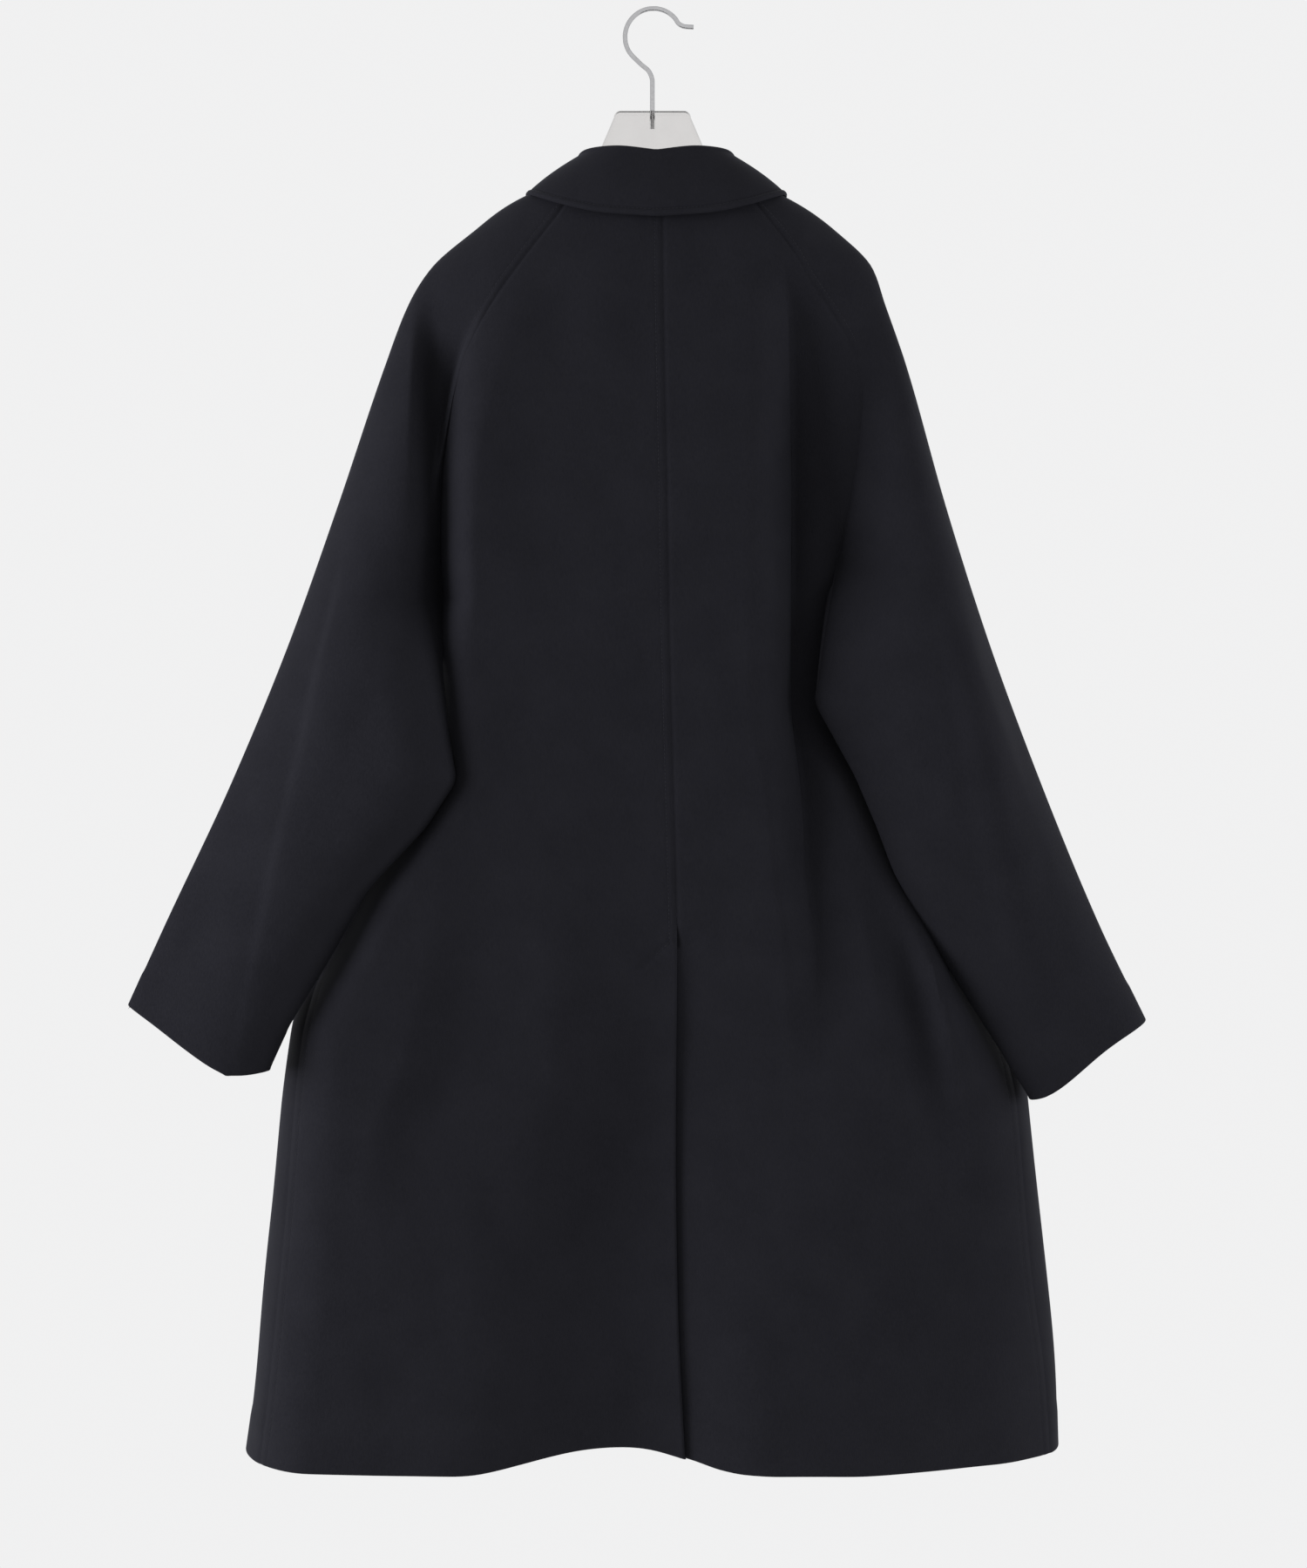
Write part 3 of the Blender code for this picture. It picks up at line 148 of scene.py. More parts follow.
# share from underarm to cuff, back depth, front depth
sleeveDepth = [
    (0, 0.05, 0.004), (0.15, 0.048, 0.006), (0.4, 0.044, 0.016), (0.7, 0.038, 0.026), (1, 0.031, 0.029)]


def smooth(keys, values, at):
    keys = np.asarray(keys, float)
    values = np.asarray(values, float)
    step = np.diff(keys)
    slope = np.diff(values) / step
    lean = np.zeros_like(values)
    same = slope[:-1] * slope[1:] > 0.0
    total = np.where(same, slope[:-1] + slope[1:], 1.0)
    lean[1:-1] = np.where(same, 2.0 * slope[:-1] * slope[1:] / total, 0.0)
    lean[0], lean[-1] = slope[0], slope[-1]
    at = np.clip(np.asarray(at, float), keys[0], keys[-1])
    i = np.clip(np.searchsorted(keys, at, side="right") - 1, 0, len(step) - 1)
    t = (at - keys[i]) / step[i]
    ends = values[i] * (1 + 2 * t) * (1 - t) ** 2 + values[i + 1] * t * t * (3 - 2 * t)
    return ends + step[i] * t * (1 - t) * (lean[i] * (1 - t) - lean[i + 1] * t)


def read(rows, place, at):
    return smooth([r[0] for r in rows], [r[place] for r in rows], at)


def bent(rows, place, at, soft=0.006):
    keys = [r[0] for r in rows]
    return np.mean([np.interp(at + k * soft, keys, [r[place] for r in rows]) for k in (-1, -0.5, 0, 0.5, 1)], axis=0)


def ease(start, end, at):
    t = np.clip((np.asarray(at, float) - start) / (end - start), 0.0, 1.0)
    return t * t * (3 - 2 * t)


def mix(a, b, share):
    return a + (b - a) * share


def runAlong(points):
    return np.r_[0.0, np.cumsum(np.linalg.norm(np.diff(points, axis=0), axis=1))]


def downsAlong(line, shares, start, end):
    fine = np.linspace(start, end, 800)
    run = runAlong(np.stack([bent(line, 1, fine), fine], axis=-1))
    return np.interp(np.asarray(shares) * run[-1], run, fine)


def foldDepth(folds, across, down):
    total = np.zeros(np.broadcast(across, down).shape)
    for atAcross, atDown, depth, width in folds.values():
        off = across - smooth(atDown, atAcross, down)
        near = np.clip(np.abs(off) / np.where(off < 0, *width), 0, 1)
        total = total + smooth(atDown, depth, down) * (1 - near ** 2) ** 2
    return total


# plain round of the body: as wide as the arms down to armLevel, then on to skirtReach at the hem
torso = {"armLevel": 0.56, "skirtReach": 0.38}


def plate(across, down, face):
    middle = read(centre, 1, down)
    deep = read(centre, {"back": 2, "front": 3}[face], down)
    power = read(centre, 4, down)
    shoulder = np.minimum(down, torso["armLevel"])
    below = np.clip((down - torso["armLevel"]) / (level["hem"] - torso["armLevel"]), 0, 1)
    reach = np.zeros(np.broadcast(across, down).shape)
    rim = np.zeros_like(reach)
    for s in sides:
        here = (across < middle) == (s == "left")
        limit = mix(read(overarm[s], 1, shoulder), sign[s] * torso["skirtReach"], below)
        reach = np.where(here, np.clip((across - middle) / (limit - middle), 0, 1), reach)
        rim = np.where(here, read(overarm[s], 2, shoulder), rim)
    return rim + (deep - rim) * (1 - reach ** power) ** (1 / power)


def backDepth(across, down):
    depth = plate(across, down, "back") + foldDepth(backFolds, across, down)
    form = valleyForm
    off = across - read(valley, 1, down)
    rest = np.clip(1 + off / read(valley, 3, down), 0, 1)
    floorShare = 1 - form["floorRise"] * np.clip((off - form["floorFrom"]) / form["floorRun"], 0, 1)
    floorShare = floorShare - form["tailRise"] * ease(*form["tail"], off)
    flank = (1 - np.sqrt(1 - (form["roll"] * rest) ** 2)) / (1 - math.sqrt(1 - form["roll"] ** 2))
    flank = mix(rest ** 2, flank, form["rollShare"] * ease(*form["rolls"], down))
    flank = mix(flank, ease(0, 1, rest), ease(*form["softens"], down))
    depth = depth + read(valley, 2, down) * np.where(off < 0, flank, floorShare)
    for s in sides:
        line = np.where(down < underarm[s][0], read(raglan["back"][s], 1, down), bent(tuck[s], 1, down))
        rest = 1 - np.clip(sign[s] * (line - across) / read(tuck[s], 4, down), 0, 1)
        sharp = rest ** 2 if s == "left" else mix(rest ** 2, ease(0, 1, rest), 1 - ease(*tuckSoft, down))
        share = mix(sharp, 1 - np.sqrt(1 - rest ** 2), read(tuck[s], 5, down)) * read(tuck[s], 3, down)
        depth = mix(depth, read(tuck[s], 2, down), share)
    return depth


def frontPlain(across, down):
    return plate(across, down, "front") - foldDepth(frontFolds, across, down)


def frontDepth(across, down):
    depth = frontPlain(across, down)
    for s in sides:
        inside = sign[s] * (read(raglan["front"][s], 1, down) - across)
        share = (1 - np.clip(inside / frontEdge["drawn"], 0, 1)) ** 2
        depth = mix(depth, underarm[s][2], share * ease(frontEdge["drawnFrom"], underarm[s][0], down))
    return depth


# slow unevenness all over, as worn cloth has: wave lengths across and down, start; calm near the seams
waves = {"slow": (0.115, 0.31, 1.3), "quick": (0.067, -0.23, 4.1), "quickShare": 0.6, "calm": 0.03}


def drift(across, down, *toSeams):
    slow, quick = [np.sin(2 * math.pi * (across / wide + down / high) + start)
                   for wide, high, start in (waves["slow"], waves["quick"])]
    total = cloth["drift"] * (slow + waves["quickShare"] * quick)
    for far in toSeams:
        total = total * ease(0.0, waves["calm"], far)
    return total


# soft goods: a grid is laid on the worked-out points, then gets its thickness
def layGrid(name, points, outward):
    rows, columns = points.shape[:2]
    bpy.ops.object.select_all(action="DESELECT")
    bpy.ops.mesh.primitive_grid_add(x_subdivisions=columns - 1, y_subdivisions=rows - 1, size=1.0)
    piece = bpy.context.object
    piece.name = name
    piece.data.name = name
    piece.data.vertices.foreach_set("co", points.reshape(-1))
    piece.data.update()
    normals = np.zeros(len(piece.data.vertices) * 3)
    piece.data.vertices.foreach_get("normal", normals)
    if np.mean(normals.reshape(points.shape) * np.array(outward)) < 0:
        bpy.ops.object.mode_set(mode="EDIT")
        bpy.ops.mesh.select_all(action="SELECT")
        bpy.ops.mesh.flip_normals()
        bpy.ops.object.mode_set(mode="OBJECT")
    return piece


def thicken(piece, wall):
    solid = piece.modifiers.new("wall", "SOLIDIFY")
    solid.thickness = wall
    solid.offset = -1.0
    bpy.context.view_layer.objects.active = piece
    bpy.ops.object.modifier_apply(modifier="wall")
    bpy.ops.object.shade_smooth_by_angle(angle=math.radians(45))


def asPart(points, sink, toward):
    normals = np.cross(np.gradient(points, axis=0), np.gradient(points, axis=1))
    normals /= np.linalg.norm(normals, axis=2, keepdims=True) + 1e-12
    if toward * np.mean(normals[..., 1]) < 0:
        normals = -normals
    return {"points": points, "sink": sink, "normals": normals}


# columns bunch up at the seams so that the cloth can dip into them
seam = {"steps": np.array([0, 0.0007, 0.0016, 0.0028, 0.0042, 0.0056, 0.0066, 0.0076, 0.0092, 0.0118]),
        "dip": 0.0013, "dipWidth": 0.0022, "stitchAt": 0.0066, "stitchDent": 0.00035, "stitchWidth": 0.001,
        "hemRoll": 0.0022, "hemTurn": 0.036, "hemBulge": 0.0006, "hemSoft": 0.004, "edgeRoll": 0.0018,
        "side": 0.4, "sideStitch": 0.05, "clear": 0.9, "faint": 0.12, "fades": (0.265, 0.315),
        "underarm": (0.004, 0.035), "mostBunched": 0.3}


def seamDip(far, share=1.0):
    return seam["dip"] * share * np.exp(-(far / seam["dipWidth"]) ** 2)


def nearUnderarm(s, edge):
    off = (edge - np.array(underarm[s])[[1, 2, 0]])[:, [0, 2]]
    return ease(*seam["underarm"], np.linalg.norm(off, axis=1))[:, None]


# the back's raglan seam fades on its way down
def raglanShown(edge, face):
    shown = 1 - ease(*seam["fades"], edge[:, 2:]) if face == "back" else np.ones((len(edge), 1))
    return mix(seam["faint"], seam["clear"], shown)


def turnedUp(far, turn):
    return seam["hemBulge"] * (1 - ease(turn - seam["hemSoft"], turn + seam["hemSoft"], far))


def stitchDent(far):
    return seam["stitchDent"] * np.exp(-((far - seam["stitchAt"]) / seam["stitchWidth"]) ** 2)


def edgeRoll(far, radius):
    near = np.clip(1 - far / radius, 0, 1)
    return radius * (1 - np.sqrt(1 - near ** 2))


def bunched(width, count, both=True):
    scale = min(1.0, seam["mostBunched"] * width / seam["steps"][-1])
    near = seam["steps"] * scale
    if both:
        return np.r_[near, np.linspace(near[-1], width - near[-1], count)[1:-1], width - near[::-1]]
    return np.r_[near, np.linspace(near[-1], width, count)[1:]]


# rows of the body: raglan, waist, the vent's top, skirt, hem
rowCount = {"raglan": 72, "waist": 62, "vent": 24, "skirt": 80, "arm": 104}
rowEnds = {"aboveVent": 0.022, "belowVent": 0.026, "aboveHem": 0.0045}
underRow = rowCount["raglan"]  # the underarm's row
hemSteps = np.array([0.003, 0.002, 0.0013, 0.0007, 0.0003, 0.0])
bunch = 1.25  # crowds rows or columns towards their start
probe = 0.004  # distance over which a slope is read


def rowHeights(neck, middle):
    ventStart, ventEnd = level["ventTop"] - rowEnds["aboveVent"], level["ventTop"] + rowEnds["belowVent"]
    return np.r_[np.linspace(neck, middle, underRow + 1),
                 np.linspace(middle, ventStart, rowCount["waist"] + 1)[1:],
                 np.linspace(ventStart, ventEnd, rowCount["vent"] + 1)[1:],
                 np.linspace(ventEnd, level["hem"] - rowEnds["aboveHem"], rowCount["skirt"])[1:],
                 level["hem"] - hemSteps]


bodyRows = rowHeights(level["nape"], level["underarm"])
raglanPart = (np.arange(len(bodyRows)) <= underRow)[:, None]


def raglanSeam(s, face):
    table = raglan[face][s]
    down = downsAlong(table, np.linspace(0, 1, underRow + 1), table[0][0], underarm[s][0])
    across = read(table, 1, down)
    points = np.stack([across, {"back": backDepth, "front": frontDepth}[face](across, down), down], axis=-1)
    points[-1] = (underarm[s][1], underarm[s][2], underarm[s][0])
    return points


def sideSeam(s):
    down = rowHeights(level["nape"], underarm[s][0])[underRow + 1:]
    across = read(sideLine[s], 1, down)
    return np.stack([across, backDepth(across, down), down], axis=-1)


# the back's hem rises beside the vent
hemLift = {"across": -0.03, "left": 0.14, "right": 0.108, "rise": 0.015}


def hemDown(across):
    off = across - hemLift["across"]
    off = np.clip(np.abs(off) / np.where(off < 0, hemLift["left"], hemLift["right"]), 0, 1)
    return level["hem"] - hemLift["rise"] * (1 - off ** 2) ** 2


flip = np.array([1.0, 1.0, -1.0])  # down becomes Z


# vent: the left half laps over the right; a slanted bar of sewing holds its top
vent = {"lap": 0.042, "tongue": 0.0012, "tongueSink": 0.003, "slipFrom": 0.024, "slipTo": 0.002,
        "slipAcross": (0.006, 0.03), "lift": 0.0024, "liftWidth": 0.045, "liftRun": 0.06,
        "barFrom": (0.0133, 0.8137), "barTo": (-0.0133, 0.838), "barDent": 0.001, "barWidth": 0.0022}
backGrid = {"left": 56, "fine": 13, "right": 30, "guess": 0.4, "least": 0.25, "most": 0.75, "full": 0.22}
valleySteps = np.array([-0.009, -0.006, -0.0036, -0.0018, -0.0007, 0, 0.0009, 0.0022, 0.004, 0.0065, 0.01])
lapColumns = 8


def barDent(across, down):
    (fromAcross, fromDown), (toAcross, toDown) = vent["barFrom"], vent["barTo"]
    runAcross, runDown = toAcross - fromAcross, toDown - fromDown
    share = ((across - fromAcross) * runAcross + (down - fromDown) * runDown) / (runAcross ** 2 + runDown ** 2)
    share = np.clip(share, 0, 1)
    off = np.hypot(across - fromAcross - share * runAcross, down - fromDown - share * runDown)
    return vent["barDent"] * np.exp(-(off / vent["barWidth"]) ** 2)


def backColumns(s, spot, midAcross, midDown, lap):
    wide = abs(midAcross - spot[0])
    near = seam["steps"]
    if s == "left":
        fine = np.linspace(wide - vent["lap"], wide - near[-1], backGrid["fine"])
        plain = np.linspace(near[-1], fine[0], backGrid["left"])[1:-1]
        return np.r_[near, plain, fine[:-1], wide - near[::-1]]
    at = mix(spot[2], midDown, backGrid["guess"])
    for _ in range(3):
        cut = np.clip(spot[0] - read(valley, 1, at), backGrid["least"] * wide, backGrid["most"] * wide)
        at = mix(spot[2], midDown, cut / wide)
    close = cut + valleySteps * min(1.0, wide / backGrid["full"])
    return np.r_[near, np.linspace(near[-1], close[0], backGrid["right"])[1:-1], close,
                 np.linspace(close[-1], wide - near[-1], backGrid["right"])[1:-1], wide - near[::-1],
                 wide + lap * np.linspace(0, 1, lapColumns + 1)[1:]]


def backPanel(s):
    ventTop = level["ventTop"]
    edge = np.r_[raglanSeam(s, "back"), sideSeam(s)]
    midDown = bodyRows
    mid = read(centre, 1, midDown)
    lap = vent["lap"] * np.clip((midDown - ventTop) / level["ventSlant"], 0, 1) + vent["tongue"]
    far = np.array([backColumns(s, *row) for row in zip(edge, mid, midDown, lap)])
    width = np.abs(mid - edge[:, 0])[:, None]
    across = edge[:, :1] - sign[s] * far
    down = mix(edge[:, 2:], midDown[:, None], np.clip(far / width, 0, 1))
    hemShare = np.clip((down - ventTop) / (level["hem"] - ventTop), 0, 1)
    down = down + (hemDown(across) - level["hem"]) * hemShare
    depth = backDepth(across, down)
    above = (midDown < ventTop)[:, None]
    toMid = np.abs(width - far)
    if s == "right":
        slope = (backDepth(across + probe / 2, down) - backDepth(across - probe / 2, down)) / probe
        close = 1 - ease(*vent["slipAcross"], across - mid[:, None])
        under = ease(ventTop - vent["slipFrom"], ventTop - vent["slipTo"], down)
        depth = depth + (cloth["wall"] + cloth["lapGap"]) * np.hypot(1, slope) * close * under
    points = np.stack([across, depth, -down], axis=-1)
    points[underRow, 0] = edge[underRow] * flip
    toHem = hemDown(across) - down
    shown = np.where(raglanPart, raglanShown(edge, "back"), seam["side"])
    sink = seamDip(far, shown) * nearUnderarm(s, edge) + edgeRoll(toHem, seam["hemRoll"])
    sink = sink + drift(across, down, far, toMid) - turnedUp(toHem, seam["hemTurn"])
    sewnSide = (midDown > level["underarm"] + seam["sideStitch"])[:, None]
    sink = sink + seamDip(toMid) * above + stitchDent(far) * sewnSide
    if s == "left":
        slit = ease(ventTop, ventTop + vent["liftRun"], down)
        slit = slit * (1 - ease(0, vent["liftWidth"], toMid))
        sink = sink + stitchDent(toMid) * above + barDent(across, down)
        sink = sink + edgeRoll(toMid, seam["edgeRoll"]) * ~above - vent["lift"] * slit
    else:
        sink = sink + vent["tongueSink"] * (far > width + 1e-6) * (1 - under)
    return asPart(points, sink, -1)


# the side rounds from its seam to the front, fuller and fuller below the underarm
sideRound = {"below": 0.16, "bulge": 0.22, "fuller": 0.12, "steepest": 1.4, "start": 0.1}


def sideWrap(s, spot, startAcross, startDepth, count):
    outline = read(sideLine[s], 2, spot[2])
    below = ease(underarm[s][0], underarm[s][0] + sideRound["below"], spot[2])
    bulge = sideRound["bulge"] * abs(outline - spot[0]) + sideRound["fuller"] * abs(outline - startAcross) * below
    reach = outline + sign[s] * bulge
    slope = (backDepth(spot[0], spot[2]) - backDepth(spot[0] - sign[s] * probe, spot[2])) / probe
    lean = np.clip(slope, 0, sideRound["steepest"]) * abs(reach - spot[0])
    posts = np.array([(spot[0], spot[1]), (reach, spot[1] + lean), (reach, startDepth), (startAcross, startDepth)])
    t = (np.linspace(0, 1, count) ** bunch)[:, None]
    back = 1 - t
    return posts[0] * back ** 3 + posts[1] * 3 * t * back ** 2 + posts[2] * 3 * t * t * back + posts[3] * t ** 3


frontEdge = {"lap": 0.035, "drop": 0.003, "drawn": 0.055, "drawnFrom": 0.3, "overFrom": -3.0, "overFull": -1.15,
             "wrapColumns": 26, "flatColumns": 60}


def frontPanel(s):
    lap = frontEdge["lap"]
    edge = np.r_[raglanSeam(s, "front"), sideSeam(s)]
    midDown = rowHeights(level["frontNeck"], level["underarm"])
    near = np.linspace(0, 1, frontEdge["wrapColumns"]) ** bunch
    drawn = slice(0, len(near) - 1)
    rows = []
    for i, spot in enumerate(edge):
        wrapped = i > underRow
        outline = read(sideLine[s], 2, spot[2]) if wrapped else spot[0]
        zone = min(frontEdge["drawn"], 0.5 * (abs(outline) - lap))
        start = outline - sign[s] * zone
        toEdge = bunched(abs(start + sign[s] * lap), frontEdge["flatColumns"], False)[::-1]
        flat = -sign[s] * lap + sign[s] * toEdge
        across = np.r_[mix(spot[0], start, near)[:-1], flat]
        down = mix(spot[2], midDown[i], np.clip((across - spot[0]) / (0 - spot[0]), 0, 1))
        down = down + frontEdge["drop"] * ease(0.0, lap, -sign[s] * across)
        depth = frontPlain(across, down) if wrapped else frontDepth(across, down)
        if wrapped:
            wrap = sideWrap(s, spot, start, depth[len(near) - 1], len(near))[:-1]
            plain = mix(depth[drawn], spot[1], (1 - np.clip(np.abs(across[drawn] - spot[0]) / zone, 0, 1)) ** 2)
            share = ease(underarm[s][0], underarm[s][0] + sideRound["start"], spot[2])
            across[drawn] = mix(across[drawn], wrap[:, 0], share)
            depth[drawn] = mix(plain, wrap[:, 1], share)
        if s == "left":
            over = ease(frontEdge["overFrom"] * lap, frontEdge["overFull"] * lap, across)
            depth = depth + (cloth["wall"] + cloth["lapGap"]) * over
        rows.append(np.stack([across, depth, -down], axis=-1))
    points = np.array(rows)
    points[:, 0] = edge * flip
    fromSeam = np.array([runAlong(row) for row in points])
    toEdge = np.abs(points[..., 0] + sign[s] * lap)
    toHem = (level["hem"] - midDown)[:, None] + 0 * fromSeam
    sink = seamDip(fromSeam, np.where(raglanPart, seam["clear"], seam["side"])) * nearUnderarm(s, edge)
    sink = sink + drift(points[..., 0], -points[..., 2], fromSeam, toEdge)
    sink = sink + edgeRoll(toEdge, seam["edgeRoll"]) + edgeRoll(toHem, seam["hemRoll"]) + stitchDent(toEdge)
    sink = sink - turnedUp(toHem, seam["hemTurn"])
    return asPart(points, sink, 1)


# sleeve: rows crowd at the cuff and columns at the seams; under the raglan it rounds into a tube
sleeve = {"length": 0.45, "lastGap": 0.004, "columns": 56, "crowd": 0.85, "tube": {"back": 0.45, "front": 0.3},
          "square": 2.2, "round": 0.68, "rise": {"left": 0.042, "right": 0.07}, "folds": (0.12, 0.85),
          "innerSeam": 0.15, "overSeam": 0.35, "stitched": 0.9}
leaning = {"left": (-0.3, -0.7), "right": (0.62, 0.4)}  # at underarm and cuff; under 0 fullest near the inner edge
cuff = {"sag": 0.0185, "lowest": 0.27, "tip": 0.1, "tipWidth": 0.09, "wave": 0.004, "wavePower": 0.8, "grow": 4,
        "roll": 0.0022, "turn": 0.038}


def sleevePiece(s, face):
    toward = {"back": -1.0, "front": 1.0}[face]
    under = underarm[s]
    cuffShare = 1 - hemSteps / sleeve["length"]
    shares = np.r_[np.linspace(0, cuffShare[0] - sleeve["lastGap"], rowCount["arm"])[1:], cuffShare]
    innerDown = downsAlong(innerArm[s], shares, under[0], innerArm[s][-1][0])
    inner = np.stack([bent(innerArm[s], 1, innerDown), read(innerArm[s], 2, innerDown), innerDown], axis=-1)
    edge = np.r_[raglanSeam(s, face), inner]
    upper = np.linspace(0, 1, underRow + 1)
    outerDown = np.r_[downsAlong(overarm[s], upper ** bunch, overarm[s][0][0], under[0]),
                      downsAlong(overarm[s], shares, under[0], overarm[s][-1][0])]
    outer = np.stack([read(overarm[s], 1, outerDown), read(overarm[s], 2, outerDown), outerDown], axis=-1)
    raglanShare = np.r_[upper, np.ones(len(shares))][:, None]
    arm = np.r_[np.zeros(len(upper)), shares][:, None]
    tube = ease(sleeve["tube"][face], 1.0, raglanShare)
    wide = np.linalg.norm((outer - edge)[:, [0, 2]], axis=1)
    even = np.array([bunched(w, sleeve["columns"]) / w for w in wide])
    xi = mix(even, mix(even, (1 - np.cos(even * math.pi)) / 2, sleeve["crowd"]), tube)
    across = mix(edge[:, :1], outer[:, :1], xi)
    down = mix(edge[:, 2:], outer[:, 2:], xi)
    if s == "left":
        sag = np.minimum(xi / cuff["lowest"], (1 - xi) / (1 - cuff["lowest"]))
        sag = cuff["sag"] * (sag - cuff["tip"] * np.exp(-((xi - cuff["lowest"]) / cuff["tipWidth"]) ** 2))
    else:
        sag = cuff["wave"] * np.sin(2 * math.pi * xi ** cuff["wavePower"])
    sag = sag * arm ** cuff["grow"]
    leant = xi - mix(*leaning[s], arm) * np.sin(math.pi * xi) / math.pi
    swell = (1 - np.clip(np.abs(2 * leant - 1), 0, 1) ** sleeve["square"]) ** sleeve["round"]
    place = {"back": 1, "front": 2}[face]
    roundDepth = mix(edge[:, 1:2], outer[:, 1:2], xi) + toward * swell * read(sleeveDepth, place, arm)
    flatDepth = plate(across, down, face)
    gone = np.clip(np.abs(across - edge[:, :1]) / sleeve["rise"][s], 0, 1)
    rise = ((1 - gone) ** 2 if s == "left" else 1 - ease(0, 1, gone)) * (1 - xi)
    flatDepth = flatDepth + (edge[:, 1:2] - flatDepth[:, :1]) * rise
    depth = mix(flatDepth, roundDepth, tube)
    if face == "back":
        foldShare = ease(0, sleeve["folds"][0], xi) * (1 - ease(sleeve["folds"][1], 1, xi))
        depth = depth + foldDepth(sleeveFolds, across, down) * foldShare
    points = np.stack([across, depth, -(down + sag)], axis=-1)
    points[:, 0] = edge * flip
    points[:, -1] = outer * flip
    far = xi * wide[:, None]
    toOver = wide[:, None] - far
    toCuff = (1 - arm) * sleeve["length"] + 0 * xi
    shown = raglanShown(edge, face)
    sink = seamDip(far, np.where(raglanShare < 1, shown, sleeve["innerSeam"])) * nearUnderarm(s, edge)
    sink = sink + drift(points[..., 0], -points[..., 2], far, toOver)
    sink = sink + seamDip(toOver, sleeve["overSeam"]) * (1 - tube) + edgeRoll(toCuff, cuff["roll"])
    sink = sink + stitchDent(far) * (raglanShare < sleeve["stitched"]) * shown - turnedUp(toCuff, cuff["turn"])
    return asPart(points, sink, toward)


def setNode(look, node, values, feeds):
    for socket, value in values.items():
        node.inputs[socket].default_value = value
    for socket, source in feeds.items():
        look.node_tree.links.new(source, node.inputs[socket])
    return node


def addNode(look, kind, values={}, feeds={}, operation=None):
    node = look.node_tree.nodes.new("ShaderNode" + kind)
    if operation:
        node.operation = operation
    return setNode(look, node, values, feeds)


def addRamp(look, source, tones, spots=(0, 1)):
    ramp = addNode(look, "ValToRGB", {}, {"Fac": source})
    for end, tone, spot in zip(ramp.color_ramp.elements, tones, spots):
        end.position = spot
        end.color = (*tone, 1.0)
    return ramp.outputs["Color"]


def newLook(name):
    look = bpy.data.materials.new(name)
    look.use_nodes = True
    return look, look.node_tree.nodes["Principled BSDF"], addNode(look, "TexCoord").outputs["Object"]


# colour between two tones, and where asked roughness between two values, by fine noise
def noiseLook(name, values, grain, tones, rough=None):
    look, shader, place = newLook(name)
    noise = addNode(look, "TexNoise", grain, {"Vector": place}).outputs["Fac"]
    feeds = {"Base Color": addRamp(look, noise, tones)}
    if rough:
        spread = addNode(look, "MapRange", {"To Min": rough[0], "To Max": rough[1]}, {"Value": noise})
        feeds["Roughness"] = spread.outputs["Result"]
    setNode(look, shader, values, feeds)
    return look


# dense milled wool: dark navy, short nap brushed downwards, soft sheen
wool = {"tones": ((0.0045, 0.0045, 0.006), (0.0071, 0.0071, 0.0092)), "spots": (0.32, 0.68),
        "brushed": (1.0, 1.0, 0.35), "napShare": 0.7, "cloudShare": 0.3, "bump": {"Strength": 0.35, "Distance": 0.0005},
        "nap": {"Scale": 950.0, "Detail": 4.0, "Roughness": 0.65}, "cloud": {"Scale": 26.0, "Detail": 5.0},
        "shader": {"Roughness": 0.95, "Specular IOR Level": 0.1, "Sheen Weight": 0.026, "Sheen Roughness": 0.3,
                   "Sheen Tint": (0.62, 0.66, 0.85, 1.0)}}


def woolLook():
    look, shader, place = newLook("navyWool")
    stretch = addNode(look, "Mapping", {"Scale": wool["brushed"]}, {"Vector": place})
    nap = addNode(look, "TexNoise", wool["nap"], {"Vector": stretch.outputs["Vector"]}).outputs["Fac"]
    cloud = addNode(look, "TexNoise", wool["cloud"], {"Vector": place}).outputs["Fac"]
    small = addNode(look, "Math", {1: wool["cloudShare"]}, {0: cloud}, "MULTIPLY")
    both = addNode(look, "Math", {1: wool["napShare"]}, {0: nap, 2: small.outputs[0]}, "MULTIPLY_ADD")
    bump = addNode(look, "Bump", wool["bump"], {"Height": nap})
    colour = addRamp(look, both.outputs[0], wool["tones"], wool["spots"])
    setNode(look, shader, wool["shader"], {"Base Color": colour, "Normal": bump.outputs["Normal"]})
    return look


woolMaterial = woolLook()
parts = {}
for s in sides:
    parts["back_" + s] = backPanel(s)
    parts["front_" + s] = frontPanel(s)
    for face in ("back", "front"):
        parts["sleeve_" + face + "_" + s] = sleevePiece(s, face)

# panels that are sewn together sink along one direction at their seam, so that it stays closed
upperRows, lowerRows = slice(0, underRow + 1), slice(underRow + 1, None)
closedRows = slice(0, int(np.sum(bodyRows < level["ventTop"] - vent["slipFrom"])))
seamPairs = [("back_left", "back_right", closedRows, -1, -1 - lapColumns)]
for s in sides:
    back, front, sleeveBack, sleeveFront = [node + s for node in ("back_", "front_", "sleeve_back_", "sleeve_front_")]
    seamPairs += [(back, sleeveBack, upperRows, 0, 0), (front, sleeveFront, upperRows, 0, 0),
                  (back, front, lowerRows, 0, 0), (sleeveBack, sleeveFront, lowerRows, 0, 0),
                  (sleeveBack, sleeveFront, slice(None), -1, -1)]
for first, second, rows, columnA, columnB in seamPairs:
    shared = parts[first]["normals"][rows, columnA] + parts[second]["normals"][rows, columnB]
    shared /= np.linalg.norm(shared, axis=1, keepdims=True) + 1e-9
    parts[first]["normals"][rows, columnA] = shared
    parts[second]["normals"][rows, columnB] = shared


def pieceName(node):
    words = node.split("_")
    return words[0] + "".join(w.capitalize() for w in words[1:])


